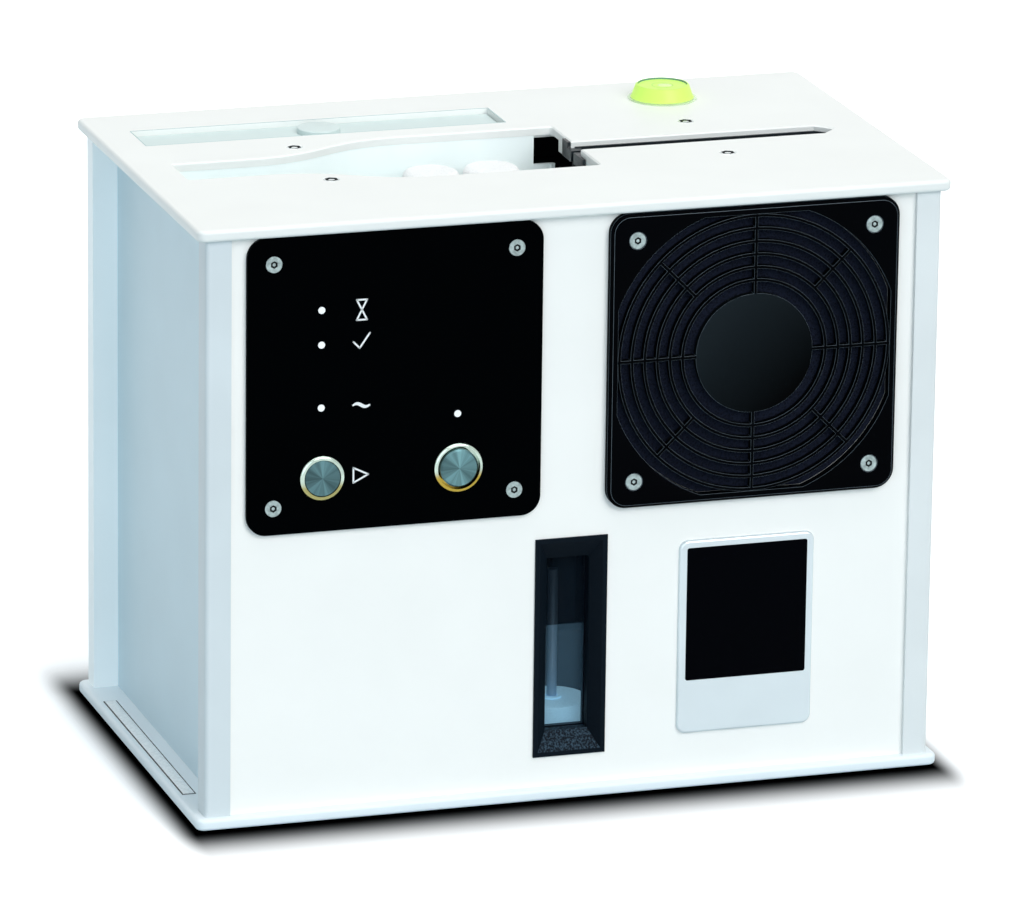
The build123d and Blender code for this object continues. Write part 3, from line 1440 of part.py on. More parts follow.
def wheel_form(shaft_front, shaft_rear):
    """Grooved wheel about z with its shaft; the record's edge runs in the groove."""
    half = wheel_width / 2
    with BuildPart() as form:
        with BuildSketch(Plane.XZ):
            with BuildLine():
                Polyline(
                    (0, -shaft_rear),
                    (wheel_shaft_radius, -shaft_rear),
                    (wheel_shaft_radius, -half),
                    (wheel_radius, -half),
                    (wheel_radius, -half / 2),
                    (wheel_radius - wheel_groove, 0),
                    (wheel_radius, half / 2),
                    (wheel_radius, half),
                    (wheel_shaft_radius, half),
                    (wheel_shaft_radius, shaft_front),
                    (0, shaft_front),
                    close=True,
                )
            make_face()
        revolve(axis=Axis.Z)
    return form.part


ear_reach = ear_offset + wheel_ear_thickness / 2
with BuildPart() as record_wheel_left:
    with Locations(Location((-wheel_x, record_plane_y, wheel_z), (90, 0, 0))):
        add(wheel_form(ear_reach, ear_reach))
finish_part(record_wheel_left, "record_wheel_left")

with BuildPart() as record_wheel_right:
    with Locations(Location((wheel_x, record_plane_y, wheel_z), (90, 0, 0))):
        add(wheel_form(wheel_width / 2 + 1, duct_half_width + trough_wall + gearbox_length))
finish_part(record_wheel_right, "record_wheel_right")

with BuildPart() as record_motor:
    with BuildSketch(rear_plane(pocket_rear)):
        with Locations((wheel_x, wheel_z)):
            Circle(gearbox_radius)
    extrude(amount=-gearbox_length)
    with BuildSketch(rear_plane(pocket_rear + gearbox_length)):
        with Locations((wheel_x, wheel_z)):
            Circle(record_motor_radius)
    extrude(amount=-record_motor_length)
    with BuildSketch(rear_plane(pocket_rear)):
        with Locations((wheel_x, wheel_z)):
            Circle(wheel_shaft_radius + running_gap)
    extrude(amount=-gearbox_length, mode=Mode.SUBTRACT)
finish_part(record_motor, "record_motor")

with BuildPart() as ultrasonic_transducers:
    with BuildSketch(front_plane(chamber_front_face)):
        with Locations((transducer_x, transducer_z)):
            with GridLocations(transducer_spacing, 1, 2, 1):
                Circle(transducer_horn_radius)
    extrude(amount=transducer_horn_length, taper=transducer_horn_taper)
    with BuildSketch(front_plane(chamber_front_face + transducer_horn_length)):
        with Locations((transducer_x, transducer_z)):
            with GridLocations(transducer_spacing, 1, 2, 1):
                Circle(transducer_ring_radius)
    extrude(amount=transducer_ring_length)
    with BuildSketch(front_plane(chamber_front_face + transducer_horn_length + transducer_ring_length)):
        with Locations((transducer_x, transducer_z)):
            with GridLocations(transducer_spacing, 1, 2, 1):
                RegularPolygon(transducer_ring_radius / 2, 6)
    extrude(amount=transducer_nut_length)
finish_part(ultrasonic_transducers, "ultrasonic_transducers")

# ---------------------------------------------------------------- filter under its lid

tray_length = ledge_length + 2 * tray_wall
tray_width = ledge_width + 2 * tray_wall

with BuildPart() as filter_tray:
    with BuildSketch(Plane.XY.offset(deck_underside)):
        with Locations((filter_lid_x, filter_lid_y)):
            RectangleRounded(tray_length, tray_width, filter_corner + tray_wall)
    extrude(amount=-tray_depth)
    with BuildSketch(Plane.XY.offset(deck_underside)):
        with Locations((filter_lid_x, filter_lid_y)):
            Rectangle(tray_length, tray_width + 2 * tray_lip)
    extrude(amount=-tray_lip_thickness)
    with BuildSketch(Plane.XY.offset(deck_underside)):
        with Locations((filter_lid_x, filter_lid_y)):
            RectangleRounded(ledge_length, ledge_width, filter_corner)
    extrude(amount=-(tray_depth - tray_wall), mode=Mode.SUBTRACT)
finish_part(filter_tray, "filter_tray")

with BuildPart() as filter_cartridge:
    with BuildSketch(Plane.XY.offset(deck_underside - tray_depth + tray_wall)):
        with Locations((filter_lid_x, filter_lid_y)):
            RectangleRounded(ledge_length - 2 * cartridge_gap, ledge_width - 2 * cartridge_gap, filter_corner)
    extrude(amount=cartridge_height)
finish_part(filter_cartridge, "filter_cartridge")

lid_face = top_level - filter_lid_sink
with BuildPart() as filter_lid:
    with BuildSketch(Plane.XY.offset(lid_face)):
        with Locations((filter_lid_x, filter_lid_y)):
            RectangleRounded(filter_lid_length, filter_lid_width, filter_corner)
    extrude(amount=-filter_lid_thickness)
    chamfer(filter_lid.edges().group_by(Axis.Z)[-1], filter_lid_bevel)
    with BuildSketch(Plane.XY.offset(lid_face)):
        with Locations((filter_lid_x, filter_lid_y)):
            Circle(lid_knob_radius)
    extrude(amount=filter_lid_sink)
    fillet(filter_lid.edges().group_by(Axis.Z)[-1], lid_knob_round)
finish_part(filter_lid, "filter_lid")

# ---------------------------------------------------------------- level and badge plate

with BuildPart() as spirit_level:
    with BuildSketch(Plane.XY.offset(top_level)):
        with Locations((level_x, level_y)):
            Circle(level_flange_radius)
    extrude(amount=level_flange_height)
    with BuildSketch(Plane.XY.offset(top_level + level_flange_height)):
        with Locations((level_x, level_y)):
            Circle(level_foot_radius)
    with BuildSketch(Plane.XY.offset(top_level + level_height)):
        with Locations((level_x, level_y)):
            Circle(level_top_radius)
    loft()
    fillet(spirit_level.edges().group_by(Axis.Z)[-1], level_round)
finish_part(spirit_level, "spirit_level")

with BuildPart() as badge_plate:
    with BuildSketch(front_plane(panel_face)):
        with Locations((badge_x, badge_z)):
            RectangleRounded(badge_width, badge_height, badge_corner)
    extrude(amount=badge_thickness)
    fillet(badge_plate.edges().group_by(Axis.Y)[0], badge_edge)
finish_part(badge_plate, "badge_plate")

# ---------------------------------------------------------------- mains side

socket_z = inlet_z - socket_drop
rocker_z = inlet_z + rocker_rise
inlet_face = panel_face + inlet_flange_thickness

with BuildPart() as power_inlet:
    with BuildSketch(rear_plane(inlet_face)):
        with Locations((inlet_x, inlet_z)):
            RectangleRounded(inlet_flange_width, inlet_flange_height, inlet_corner)
    extrude(amount=inlet_flange_thickness)
    with BuildSketch(rear_plane(panel_face)):
        with Locations((inlet_x, inlet_z)):
            Rectangle(inlet_body_width, inlet_body_height)
    extrude(amount=inlet_body_depth)
    with BuildSketch(rear_plane(inlet_face)):
        with Locations((inlet_x, socket_z)):
            Rectangle(socket_width, socket_height)
    extrude(amount=socket_depth, mode=Mode.SUBTRACT)
    with BuildSketch(rear_plane(inlet_face - socket_depth)):
        with Locations((inlet_x, socket_z)):
            with Locations(
                (-socket_pin_spread, -socket_pin_offset),
                (socket_pin_spread, -socket_pin_offset),
                (0, socket_pin_offset),
            ):
                Rectangle(socket_pin_width, socket_pin_height)
    extrude(amount=-socket_pin_length)
    with BuildSketch(rear_plane(inlet_face)):
        with Locations((inlet_x, rocker_z)):
            Rectangle(rocker_width + 2 * rocker_gap, rocker_height + 2 * rocker_gap)
    extrude(amount=inlet_flange_thickness + inlet_body_depth - socket_depth, mode=Mode.SUBTRACT)
finish_part(power_inlet, "power_inlet")

# The rocker is drawn in its off position: its profile leans back by the rocker angle.
rocker_half = rocker_height / 2 - rocker_gap
rocker_slope = rocker_half * math.tan(math.radians(rocker_angle))
with BuildPart() as rocker_form:
    with BuildSketch(Plane.YZ.offset(-rocker_width / 2)):
        with BuildLine():
            Polyline((rocker_slope, rocker_half), (0, 0), (rocker_slope, -rocker_half))
            ThreePointArc((rocker_slope, -rocker_half), (-rocker_depth, 0), (rocker_slope, rocker_half))
        make_face()
    extrude(amount=rocker_width)

with BuildPart() as power_rocker:
    with Locations(Location((inlet_x, inlet_face, rocker_z), (rocker_angle, 0, 0))):
        add(rocker_form.part)
finish_part(power_rocker, "power_rocker")

with BuildPart() as power_supply:
    with BuildSketch(Plane.XY.offset(floor_level)):
        with Locations((supply_x, supply_y)):
            RectangleRounded(supply_width, supply_length, supply_corner)
    extrude(amount=supply_height)
    fillet(power_supply.edges().group_by(Axis.Z)[-1], supply_round)
finish_part(power_supply, "power_supply")
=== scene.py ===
"""Record cleaning machine: finishes for the CAD pieces, the pieces that CAD leaves plain, and a studio.

Lengths are written in millimetres and turned to metres by MM. x runs to the right, y to the back, z upwards.
"""

from __future__ import annotations

import logging
import math
from dataclasses import dataclass, replace
from enum import Enum
from typing import ClassVar, Iterable, Mapping, Sequence

import bmesh
import bpy
from mathutils import Matrix, Vector, noise

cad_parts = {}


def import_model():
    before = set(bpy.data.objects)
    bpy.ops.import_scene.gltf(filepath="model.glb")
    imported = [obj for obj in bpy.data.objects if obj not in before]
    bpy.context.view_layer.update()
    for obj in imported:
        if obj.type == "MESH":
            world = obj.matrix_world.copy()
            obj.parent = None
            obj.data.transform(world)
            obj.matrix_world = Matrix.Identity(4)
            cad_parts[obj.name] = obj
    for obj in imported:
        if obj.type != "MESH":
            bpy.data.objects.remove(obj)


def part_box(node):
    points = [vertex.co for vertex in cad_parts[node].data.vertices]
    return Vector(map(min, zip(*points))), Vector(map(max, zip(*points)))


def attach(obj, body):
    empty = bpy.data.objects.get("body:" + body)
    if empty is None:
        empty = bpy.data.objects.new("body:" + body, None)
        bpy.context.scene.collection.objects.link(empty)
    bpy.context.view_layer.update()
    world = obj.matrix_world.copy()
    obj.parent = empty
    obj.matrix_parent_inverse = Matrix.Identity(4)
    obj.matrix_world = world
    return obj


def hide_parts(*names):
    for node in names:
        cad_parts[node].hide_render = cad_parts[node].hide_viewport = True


MM = 0.001
SEAM = 1e-4  # mm within which two points of a new mesh are one
HAIR = 1e-6  # mm by which two heights may differ and still be one
WELD_GAP = 0.001  # mm within which two points of a CAD mesh are one
CREASE = 32.0  # degrees from which an edge of a CAD mesh is drawn sharp
CORNER_STEPS = 6
EDGE_STEPS = 2
DISC_STEPS = 16
RIBBON_END = 0.45  # share of a ribbon's width that is left at its ends
NOISE_BAND = (0.3, 0.7)  # where nearly all values of a noise lie
WEDGE_BAND = (0.35, 0.65)  # narrower, for the harder wedges of turned metal
CELL_EDGE = 0.6  # distance from a cell's point, in cells, at which its wall is reached
MACHINE = "machine"
LOG = logging.getLogger("record_cleaner")
Point = tuple[float, float, float]
Tree = bpy.types.NodeTree
Socket = bpy.types.NodeSocket
Part = bmesh.types.BMesh
Values = Mapping[str | int, object]
Links = Mapping[str | int, Socket]


class Facing(Enum):
    """Which way a face looks, as the turn about x in degrees that lays a drawing's z along it."""

    FRONT = 90
    UP = 0
    DOWN = 180

    def turn(self) -> Matrix:
        """Returns the rotation from a drawing in XY to the face; its y stays up on the front."""
        return Matrix.Rotation(math.radians(self.value), 4, "X")


# ---------------------------------------------------------------- small tools


def linear(code: str) -> tuple[float, float, float, float]:
    """Turns an sRGB hex colour to linear.

    Args:
        code: colour such as "#F4F7F7".

    Returns:
        Red, green, blue and alpha 1.
    """
    parts = [int(code[i : i + 2], 16) / 255 for i in (1, 3, 5)]
    red, green, blue = (c / 12.92 if c <= 0.04045 else ((c + 0.055) / 1.055) ** 2.4 for c in parts)
    return red, green, blue, 1.0


def add_node(
    tree: Tree, kind: str, settings: Values | None = None, links: Links | None = None
) -> bpy.types.Node:
    """Adds a shader node.

    Args:
        tree: the material's or world's node tree.
        kind: the node's type name.
        settings: values of sockets, by name or index, and of the node's own properties.
        links: sockets of other nodes that feed this node's sockets.

    Returns:
        The new node.
    """
    node = tree.nodes.new(kind)
    for key, value in (settings or {}).items():
        if isinstance(key, int) or key in node.inputs:
            node.inputs[key].default_value = value
        else:
            setattr(node, key, value)
    for key, source in (links or {}).items():
        tree.links.new(source, node.inputs[key])
    return node


def shift(x: float, y: float, z: float) -> Matrix:
    """Returns the move to a place in millimetres."""
    return Matrix.Translation((x * MM, y * MM, z * MM))


def middle(node: str) -> Vector:
    """Returns the middle of a CAD node's box in millimetres."""
    low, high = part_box(node)
    return (low + high) / (2 * MM)


def corners(node: str) -> tuple[Vector, Vector]:
    """Returns the lowest and highest corner of a CAD node in millimetres."""
    low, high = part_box(node)
    return low / MM, high / MM


def square_places(node: str, spacing: float) -> list[Matrix]:
    """Finds four places on a node's front face, on a square round its middle.

    Args:
        node: the CAD node's name.
        spacing: the square's side.

    Returns:
        The places, their z out of the face.
    """
    centre, face, half = middle(node), corners(node)[0].y, spacing / 2
    return [
        shift(centre.x + i * half, face, centre.z + j * half) @ Facing.FRONT.turn()
        for i in (-1, 1)
        for j in (-1, 1)
    ]


def rising(start: float, full: float) -> dict[str, float]:
    """Returns the ends of what a Map Range node takes in."""
    return {"From Min": start, "From Max": full}


def about_one(share: float) -> dict[str, float]:
    """Returns the ends of what a Map Range node gives out, a share below and above 1."""
    return {"To Min": 1 - share, "To Max": 1 + share}


class Shape:
    """A mesh in the making: bmesh parts that are cleaned, placed and gathered in one piece."""

    def __init__(self) -> None:
        """Starts with nothing."""
        self.mesh = bpy.data.meshes.new("shape")
        self.gathered = bmesh.new()

    def add(self, part: Part, place: Matrix, material: int | None = None) -> "Shape":
        """Closes a part's seams, points its faces outwards, and puts it in place.

        Args:
            part: a bmesh in millimetres, which is freed.
            place: its place in metres.
            material: index among the piece's materials; None keeps those that the part's faces have.

        Returns:
            This shape.
        """
        bmesh.ops.remove_doubles(part, verts=part.verts, dist=SEAM)
        bmesh.ops.recalc_face_normals(part, faces=part.faces)
        bmesh.ops.scale(part, vec=(MM, MM, MM), verts=part.verts)
        bmesh.ops.transform(part, matrix=place, verts=part.verts)
        if material is not None:
            for face in part.faces:
                face.material_index = material
        part.to_mesh(self.mesh)
        part.free()
        self.gathered.from_mesh(self.mesh)
        return self

    def piece(
        self,
        name: str,
        finishes: Sequence["Finish"],
        slot: str,
        body: str = MACHINE,
        replaced: Iterable[str] = (),
        sharp: float = 35.0,
    ) -> bpy.types.Object:
        """Makes the object, lets it ride, and hides the CAD nodes that it stands for.

        Args:
            name: the piece's name.
            finishes: one for each material index.
            slot: name of a material slot; not used.
            body: the CAD body that carries it.
            replaced: CAD nodes that it stands for.
            sharp: angle in degrees from which an edge is drawn sharp.

        Returns:
            The object, at the origin.
        """
        mesh = bpy.data.meshes.new(name)
        self.gathered.to_mesh(mesh)
        self.gathered.free()
        bpy.data.meshes.remove(self.mesh)
        mesh.shade_smooth()
        mesh.set_sharp_from_angle(angle=math.radians(sharp))
        for finish in finishes:
            mesh.materials.append(finish.material())
        made = bpy.data.objects.new(name, mesh)
        bpy.context.scene.collection.objects.link(made)
        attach(made, body)
        if replaced:
            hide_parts(*replaced)
        LOG.info("piece %s: %d faces, rides on %s", name, len(mesh.polygons), body)
        return made


def turned(profile: Sequence[tuple[float, float]], steps: int = 48) -> Part:
    """Spins a profile about Z, as on a lathe.

    Args:
        profile: (radius, height) points.
        steps: faces round the axis.

    Returns:
        A new bmesh.
    """
    part = bmesh.new()
    points = [part.verts.new((radius, 0, height)) for radius, height in profile]
    lines = [part.edges.new(pair) for pair in zip(points, points[1:])]
    bmesh.ops.spin(
        part, geom=points + lines, cent=(0, 0, 0), axis=(0, 0, 1), angle=math.tau, steps=steps, use_merge=True
    )
    return part


def slab(width: float, height: float, thickness: float, corner: float = 0.0, edge: float = 0.0) -> Part:
    """Makes a plate with its back at z = 0, with rounded corners and bevelled front edges.

    Args:
        width: size along x.
        height: size along y.
        thickness: size along z.
        corner: radius of the upright corners.
        edge: bevel of the front rim.

    Returns:
        A new bmesh.
    """
    part = bmesh.new()
    bmesh.ops.create_cube(part, size=1)
    bmesh.ops.scale(part, vec=(width, height, thickness), verts=part.verts)
    bmesh.ops.translate(part, vec=(0, 0, thickness / 2), verts=part.verts)
    if corner > 0:
        upright = [e for e in part.edges if abs(e.verts[0].co.z - e.verts[1].co.z) > thickness / 2]
        bmesh.ops.bevel(
            part,
            geom=upright,
            offset=corner,
            offset_type="OFFSET",
            affect="EDGES",
            segments=CORNER_STEPS,
            profile=0.5,
            material=-1,
        )
    if edge > 0:
        rim = [e for e in part.edges if all(abs(v.co.z - thickness) < HAIR for v in e.verts)]
        bmesh.ops.bevel(
            part,
            geom=rim,
            offset=edge,
            offset_type="OFFSET",
            affect="EDGES",
            segments=EDGE_STEPS,
            profile=0.5,
            material=-1,
        )
    return part


def stroke(
    points: Sequence[tuple[float, float]], width: float, thickness: float, closed: bool = False
) -> Part:
    """Makes a printed line of even width: each run is a thin bar, and each bend a disc.

    Args:
        points: the line's (x, y) points.
        width: line width.
        thickness: height of the print.
        closed: whether the last point joins the first.

    Returns:
        A new bmesh.
    """
    part = bmesh.new()
    ends = list(points[1:]) + ([points[0]] if closed else [])
    for (x0, y0), (x1, y1) in zip(points, ends):
        run = Vector((x1 - x0, y1 - y0))
        place = Matrix.Translation(((x0 + x1) / 2, (y0 + y1) / 2, thickness / 2))
        place = place @ Matrix.Rotation(math.atan2(run.y, run.x), 4, "Z")
        bar = bmesh.ops.create_cube(part, size=1)["verts"]
        bmesh.ops.scale(part, vec=(run.length, width, thickness), verts=bar)
        bmesh.ops.transform(part, matrix=place, verts=bar)
    for x, y in points:
        disc = bmesh.ops.create_cone(
            part, cap_ends=True, segments=DISC_STEPS, radius1=width / 2, radius2=width / 2, depth=thickness
        )["verts"]
        bmesh.ops.translate(part, vec=(x, y, thickness / 2), verts=disc)
    return part


def ribbon(points: Sequence[tuple[float, float]], width: float, thickness: float) -> Part:
    """Makes a printed curve as one strip, which swells to its full width in the middle.

    Args:
        points: the curve's (x, y) points.
        width: full width.
        thickness: height of the print.

    Returns:
        A new bmesh.
    """
    part = bmesh.new()
    last = len(points) - 1
    pairs = []
    for i, point in enumerate(points):
        run = Vector(points[min(i + 1, last)]) - Vector(points[max(i - 1, 0)])
        reach = width / 2 * (RIBBON_END + (1 - RIBBON_END) * math.sin(math.pi * i / last))
        side = Vector((-run.y, run.x)).normalized() * reach
        pairs.append([part.verts.new((*(Vector(point) + side * sign), 0.0)) for sign in (1, -1)])
    for (a, b), (c, d) in zip(pairs, pairs[1:]):
        part.faces.new((a, b, d, c))
    raised = bmesh.ops.extrude_face_region(part, geom=part.faces[:])["geom"]
    top = [g for g in raised if isinstance(g, bmesh.types.BMVert)]
    bmesh.ops.translate(part, vec=(0, 0, thickness), verts=top)
    bmesh.ops.recalc_face_normals(part, faces=part.faces)
    return part


# ---------------------------------------------------------------- finishes


@dataclass(frozen=True)
class Finish:
    """A surface with a fine grain and a slow variation of its tone.

    Attributes:
        name: the material's name.
        colour: sRGB hex.
        roughness: of the gloss.
        metallic: 1 for bare metal.
        ior: index of refraction, for what isn't metal.
        grain: width of the grain in mm.
        relief: height of the grain in mm.
        variation: share by which tone and roughness wander.
        patch: width in mm of the slow variation.
        coat: weight of a clear coat.
        sheen: weight of the soft rim light of cloth and pile.
        mirror: strength of the mirror reflection; 0.5 is that of a smooth surface of this IOR.
        glow: strength of painted light: a glow that the surface gives off although it is no lamp.
    """

    name: str
    colour: str
    roughness: float
    metallic: float = 0.0
    ior: float = 1.5
    grain: float = 0.5
    relief: float = 0.01
    variation: float = 0.04
    patch: float = 40.0
    coat: float = 0.0
    sheen: float = 0.0
    mirror: float = 0.5
    glow: float = 0.0
    made: ClassVar[dict[str, bpy.types.Material]] = {}

    def material(self) -> bpy.types.Material:
        """Makes the material on its first use.

        Returns:
            The material.
        """
        if self.name not in Finish.made:
            material = bpy.data.materials.new(self.name)
            material.use_nodes = True
            material.node_tree.nodes.clear()
            self.build(material.node_tree)
            Finish.made[self.name] = material
        return Finish.made[self.name]

    def place(self, tree: Tree) -> Socket:
        """Returns the place on the object, in metres."""
        return add_node(tree, "ShaderNodeTexCoord").outputs["Object"]

    def relief_height(self, tree: Tree, place: Socket) -> Socket:
        """Returns the grain's height, from 0 to 1."""
        grain = {"Scale": 1 / (self.grain * MM), "Detail": 3.0, "Roughness": 0.6}
        return add_node(tree, "ShaderNodeTexNoise", grain, {"Vector": place}).outputs["Fac"]

    def level(self, tree: Tree, place: Socket) -> Socket:
        """Makes the colour's brightness, which wanders slowly about 1.

        Args:
            tree: the material's node tree.
            place: the place on the object.

        Returns:
            The brightness's socket.
        """
        slow = {"Scale": 1 / (self.patch * MM), "Detail": 2.0}
        patches = add_node(tree, "ShaderNodeTexNoise", slow, {"Vector": place})
        band = {**rising(*NOISE_BAND), **about_one(self.variation)}
        return add_node(tree, "ShaderNodeMapRange", band, {"Value": patches.outputs["Fac"]}).outputs["Result"]

    def tone(self, tree: Tree, place: Socket) -> Socket:
        """Returns the colour at its brightness."""
        level, colour = {"Value": self.level(tree, place)}, {"Color": linear(self.colour)}
        return add_node(tree, "ShaderNodeHueSaturation", colour, level).outputs["Color"]

    def gloss(self, tree: Tree, height: Socket) -> Socket:
        """Returns the roughness, which follows the grain."""
        band = {end: self.roughness * share for end, share in about_one(self.variation).items()}
        return add_node(tree, "ShaderNodeMapRange", band, {"Value": height}).outputs["Result"]

    def sockets(self) -> Values:
        """Lists the values that are the same all over the surface.

        Returns:
            The shader's sockets with their values.
        """
        return {
            "Metallic": self.metallic,
            "IOR": self.ior,
            "Specular IOR Level": self.mirror,
            "Coat Weight": self.coat,
            "Coat Roughness": 0.08,
            "Sheen Weight": self.sheen,
            "Sheen Roughness": 0.5,
            "Emission Color": linear(self.colour),
            "Emission Strength": self.glow,
        }

    def extra_links(self, tree: Tree, place: Socket) -> Links:
        """Returns further links into the shader; a plain finish has none."""
        return {}

    def build(self, tree: Tree) -> None:
        """Fills the material's node tree.

        Args:
            tree: the material's node tree.
        """
        place = self.place(tree)
        height = self.relief_height(tree, place)
        raised = {"Strength": 1.0, "Distance": self.relief * MM}
        bump = add_node(tree, "ShaderNodeBump", raised, {"Height": height}).outputs["Normal"]
        links = {"Base Color": self.tone(tree, place), "Roughness": self.gloss(tree, height), "Normal": bump}
        links.update(self.extra_links(tree, place))
        shader = add_node(tree, "ShaderNodeBsdfPrincipled", self.sockets(), links)
        add_node(tree, "ShaderNodeOutputMaterial", links={"Surface": shader.outputs["BSDF"]})


@dataclass(frozen=True)
class Drawn(Finish):
    """Metal with straight lines from rolling, drawing or brushing.

    Attributes:
        stretch: how much finer the pattern is across x, y and z than along the lines.
    """

    stretch: Point = (1.0, 1.0, 0.02)

    def relief_height(self, tree: Tree, place: Socket) -> Socket:
        """Returns lines along the axis with the smallest stretch.

        Args:
            tree: the material's node tree.
            place: the place on the object.

        Returns:
            The height's socket.
        """
        along = {"vector_type": "POINT", "Scale": self.stretch}
        lines = add_node(tree, "ShaderNodeMapping", along, {"Vector": place})
        grain = {"Scale": 1 / (self.grain * MM), "Detail": 4.0, "Roughness": 0.7}
        return add_node(tree, "ShaderNodeTexNoise", grain, {"Vector": lines.outputs["Vector"]}).outputs["Fac"]


@dataclass(frozen=True)
class Spun(Finish):
    """Metal turned on a lathe: its rings spread each highlight into a wedge, and its tone has painted wedges.

    Attributes:
        centre: a point of the axis in mm.
        axis: its direction.
        pull: how much the rings stretch the highlights.
        painted_streak: share by which painted highlight wedges change the tone round the axis.
        streaks: how many changes there are, roughly, in one radian.
        painted_gleam: the direction in which the painted highlight is brightest, both ways from the axis.
        painted_lobe: by how much that painted highlight lightens the tone.
    """

    centre: Point = (0.0, 0.0, 0.0)
    axis: Point = (0.0, 1.0, 0.0)
    pull: float = 0.85
    painted_streak: float = 0.35
    streaks: float = 2.4
    painted_gleam: Point = (0.15, 0.0, 1.0)
    painted_lobe: float = 0.3

    def around(self, tree: Tree, place: Socket) -> Socket:
        """Makes the vector that runs round the axis and is as long as the distance from it.

        Args:
            tree: the material's node tree.
            place: the place on the object.

        Returns:
            The vector's socket.
        """
        from_centre = {"operation": "SUBTRACT", 1: tuple(c * MM for c in self.centre)}
        spoke = add_node(tree, "ShaderNodeVectorMath", from_centre, {0: place}).outputs["Vector"]
        turned_out = {"operation": "CROSS_PRODUCT", 1: self.axis}
        return add_node(tree, "ShaderNodeVectorMath", turned_out, {0: spoke}).outputs["Vector"]

    def heading(self, tree: Tree, place: Socket) -> Socket:
        """Returns the direction round the axis."""
        unit = {"operation": "NORMALIZE"}
        return add_node(tree, "ShaderNodeVectorMath", unit, {0: self.around(tree, place)}).outputs["Vector"]

    def relief_height(self, tree: Tree, place: Socket) -> Socket:
        """Returns rings round the axis, from noise read along the radius.

        Args:
            tree: the material's node tree.
            place: the place on the object.

        Returns:
            The height's socket.
        """
        around = {0: self.around(tree, place)}
        radius = add_node(tree, "ShaderNodeVectorMath", {"operation": "LENGTH"}, around)
        rings = {"noise_dimensions": "1D", "Scale": 1 / (self.grain * MM), "Detail": 2.0}
        return add_node(tree, "ShaderNodeTexNoise", rings, {"W": radius.outputs["Value"]}).outputs["Fac"]

    def level(self, tree: Tree, place: Socket) -> Socket:
        """Makes the colour's brightness, with painted highlights in wedges round the axis.

        Args:
            tree: the material's node tree.
            place: the place on the object.

        Returns:
            The brightness's socket.
        """
        heading = self.heading(tree, place)
        pattern = {"Scale": self.streaks, "Detail": 4.0, "Roughness": 0.55}
        wedge = add_node(tree, "ShaderNodeTexNoise", pattern, {"Vector": heading})
        band = {**rising(*WEDGE_BAND), **about_one(self.painted_streak)}
        wedges = add_node(tree, "ShaderNodeMapRange", band, {"Value": wedge.outputs["Fac"]})
        bright_way = tuple(Vector(self.axis).cross(Vector(self.painted_gleam)).normalized())
        along = {"operation": "DOT_PRODUCT", 1: bright_way}
        facing = add_node(tree, "ShaderNodeVectorMath", along, {0: heading}).outputs["Value"]
        product = {"operation": "MULTIPLY"}
        squared = add_node(tree, "ShaderNodeMath", product, {0: facing, 1: facing}).outputs["Value"]
        lobes = add_node(tree, "ShaderNodeMapRange", about_one(self.painted_lobe), {"Value": squared})
        both = {0: wedges.outputs["Result"], 1: lobes.outputs["Result"]}
        return add_node(tree, "ShaderNodeMath", product, both).outputs["Value"]

    def sockets(self) -> Values:
        """Returns the plain values, with the pull of the rings."""
        return {**super().sockets(), "Anisotropic": self.pull}

    def extra_links(self, tree: Tree, place: Socket) -> Links:
        """Returns the tangent, which runs round the axis."""
        return {"Tangent": self.heading(tree, place)}


@dataclass(frozen=True)
class PaintedLowerReflection(Finish):
    """A surface whose lower part has another colour: a painted reflection, as of a warm room below polished
    metal.

    Attributes:
        lower: sRGB hex of the painted reflection on the lower part.
        line: height in mm where the colours meet.
        blend: height in mm over which they mix.
    """

    lower: str = "#FFFFFF"
    line: float = 0.0
    blend: float = 3.0

    def tone(self, tree: Tree, place: Socket) -> Socket:
        """Returns the colour by height, with the painted reflection below the line.

        Args:
            tree: the material's node tree.
            place: the place on the object.

        Returns:
            The colour's socket.
        """
        height = add_node(tree, "ShaderNodeSeparateXYZ", links={"Vector": place}).outputs["Z"]
        start, full = ((self.line + self.blend / 2 * sign) * MM for sign in (-1, 1))
        band = {"interpolation_type": "SMOOTHSTEP", **rising(start, full)}
        share = add_node(tree, "ShaderNodeMapRange", band, {"Value": height})
        colours = {"data_type": "RGBA", 6: linear(self.lower)}
        sides = {0: share.outputs["Result"], 7: super().tone(tree, place)}
        return add_node(tree, "ShaderNodeMix", colours, sides).outputs[2]


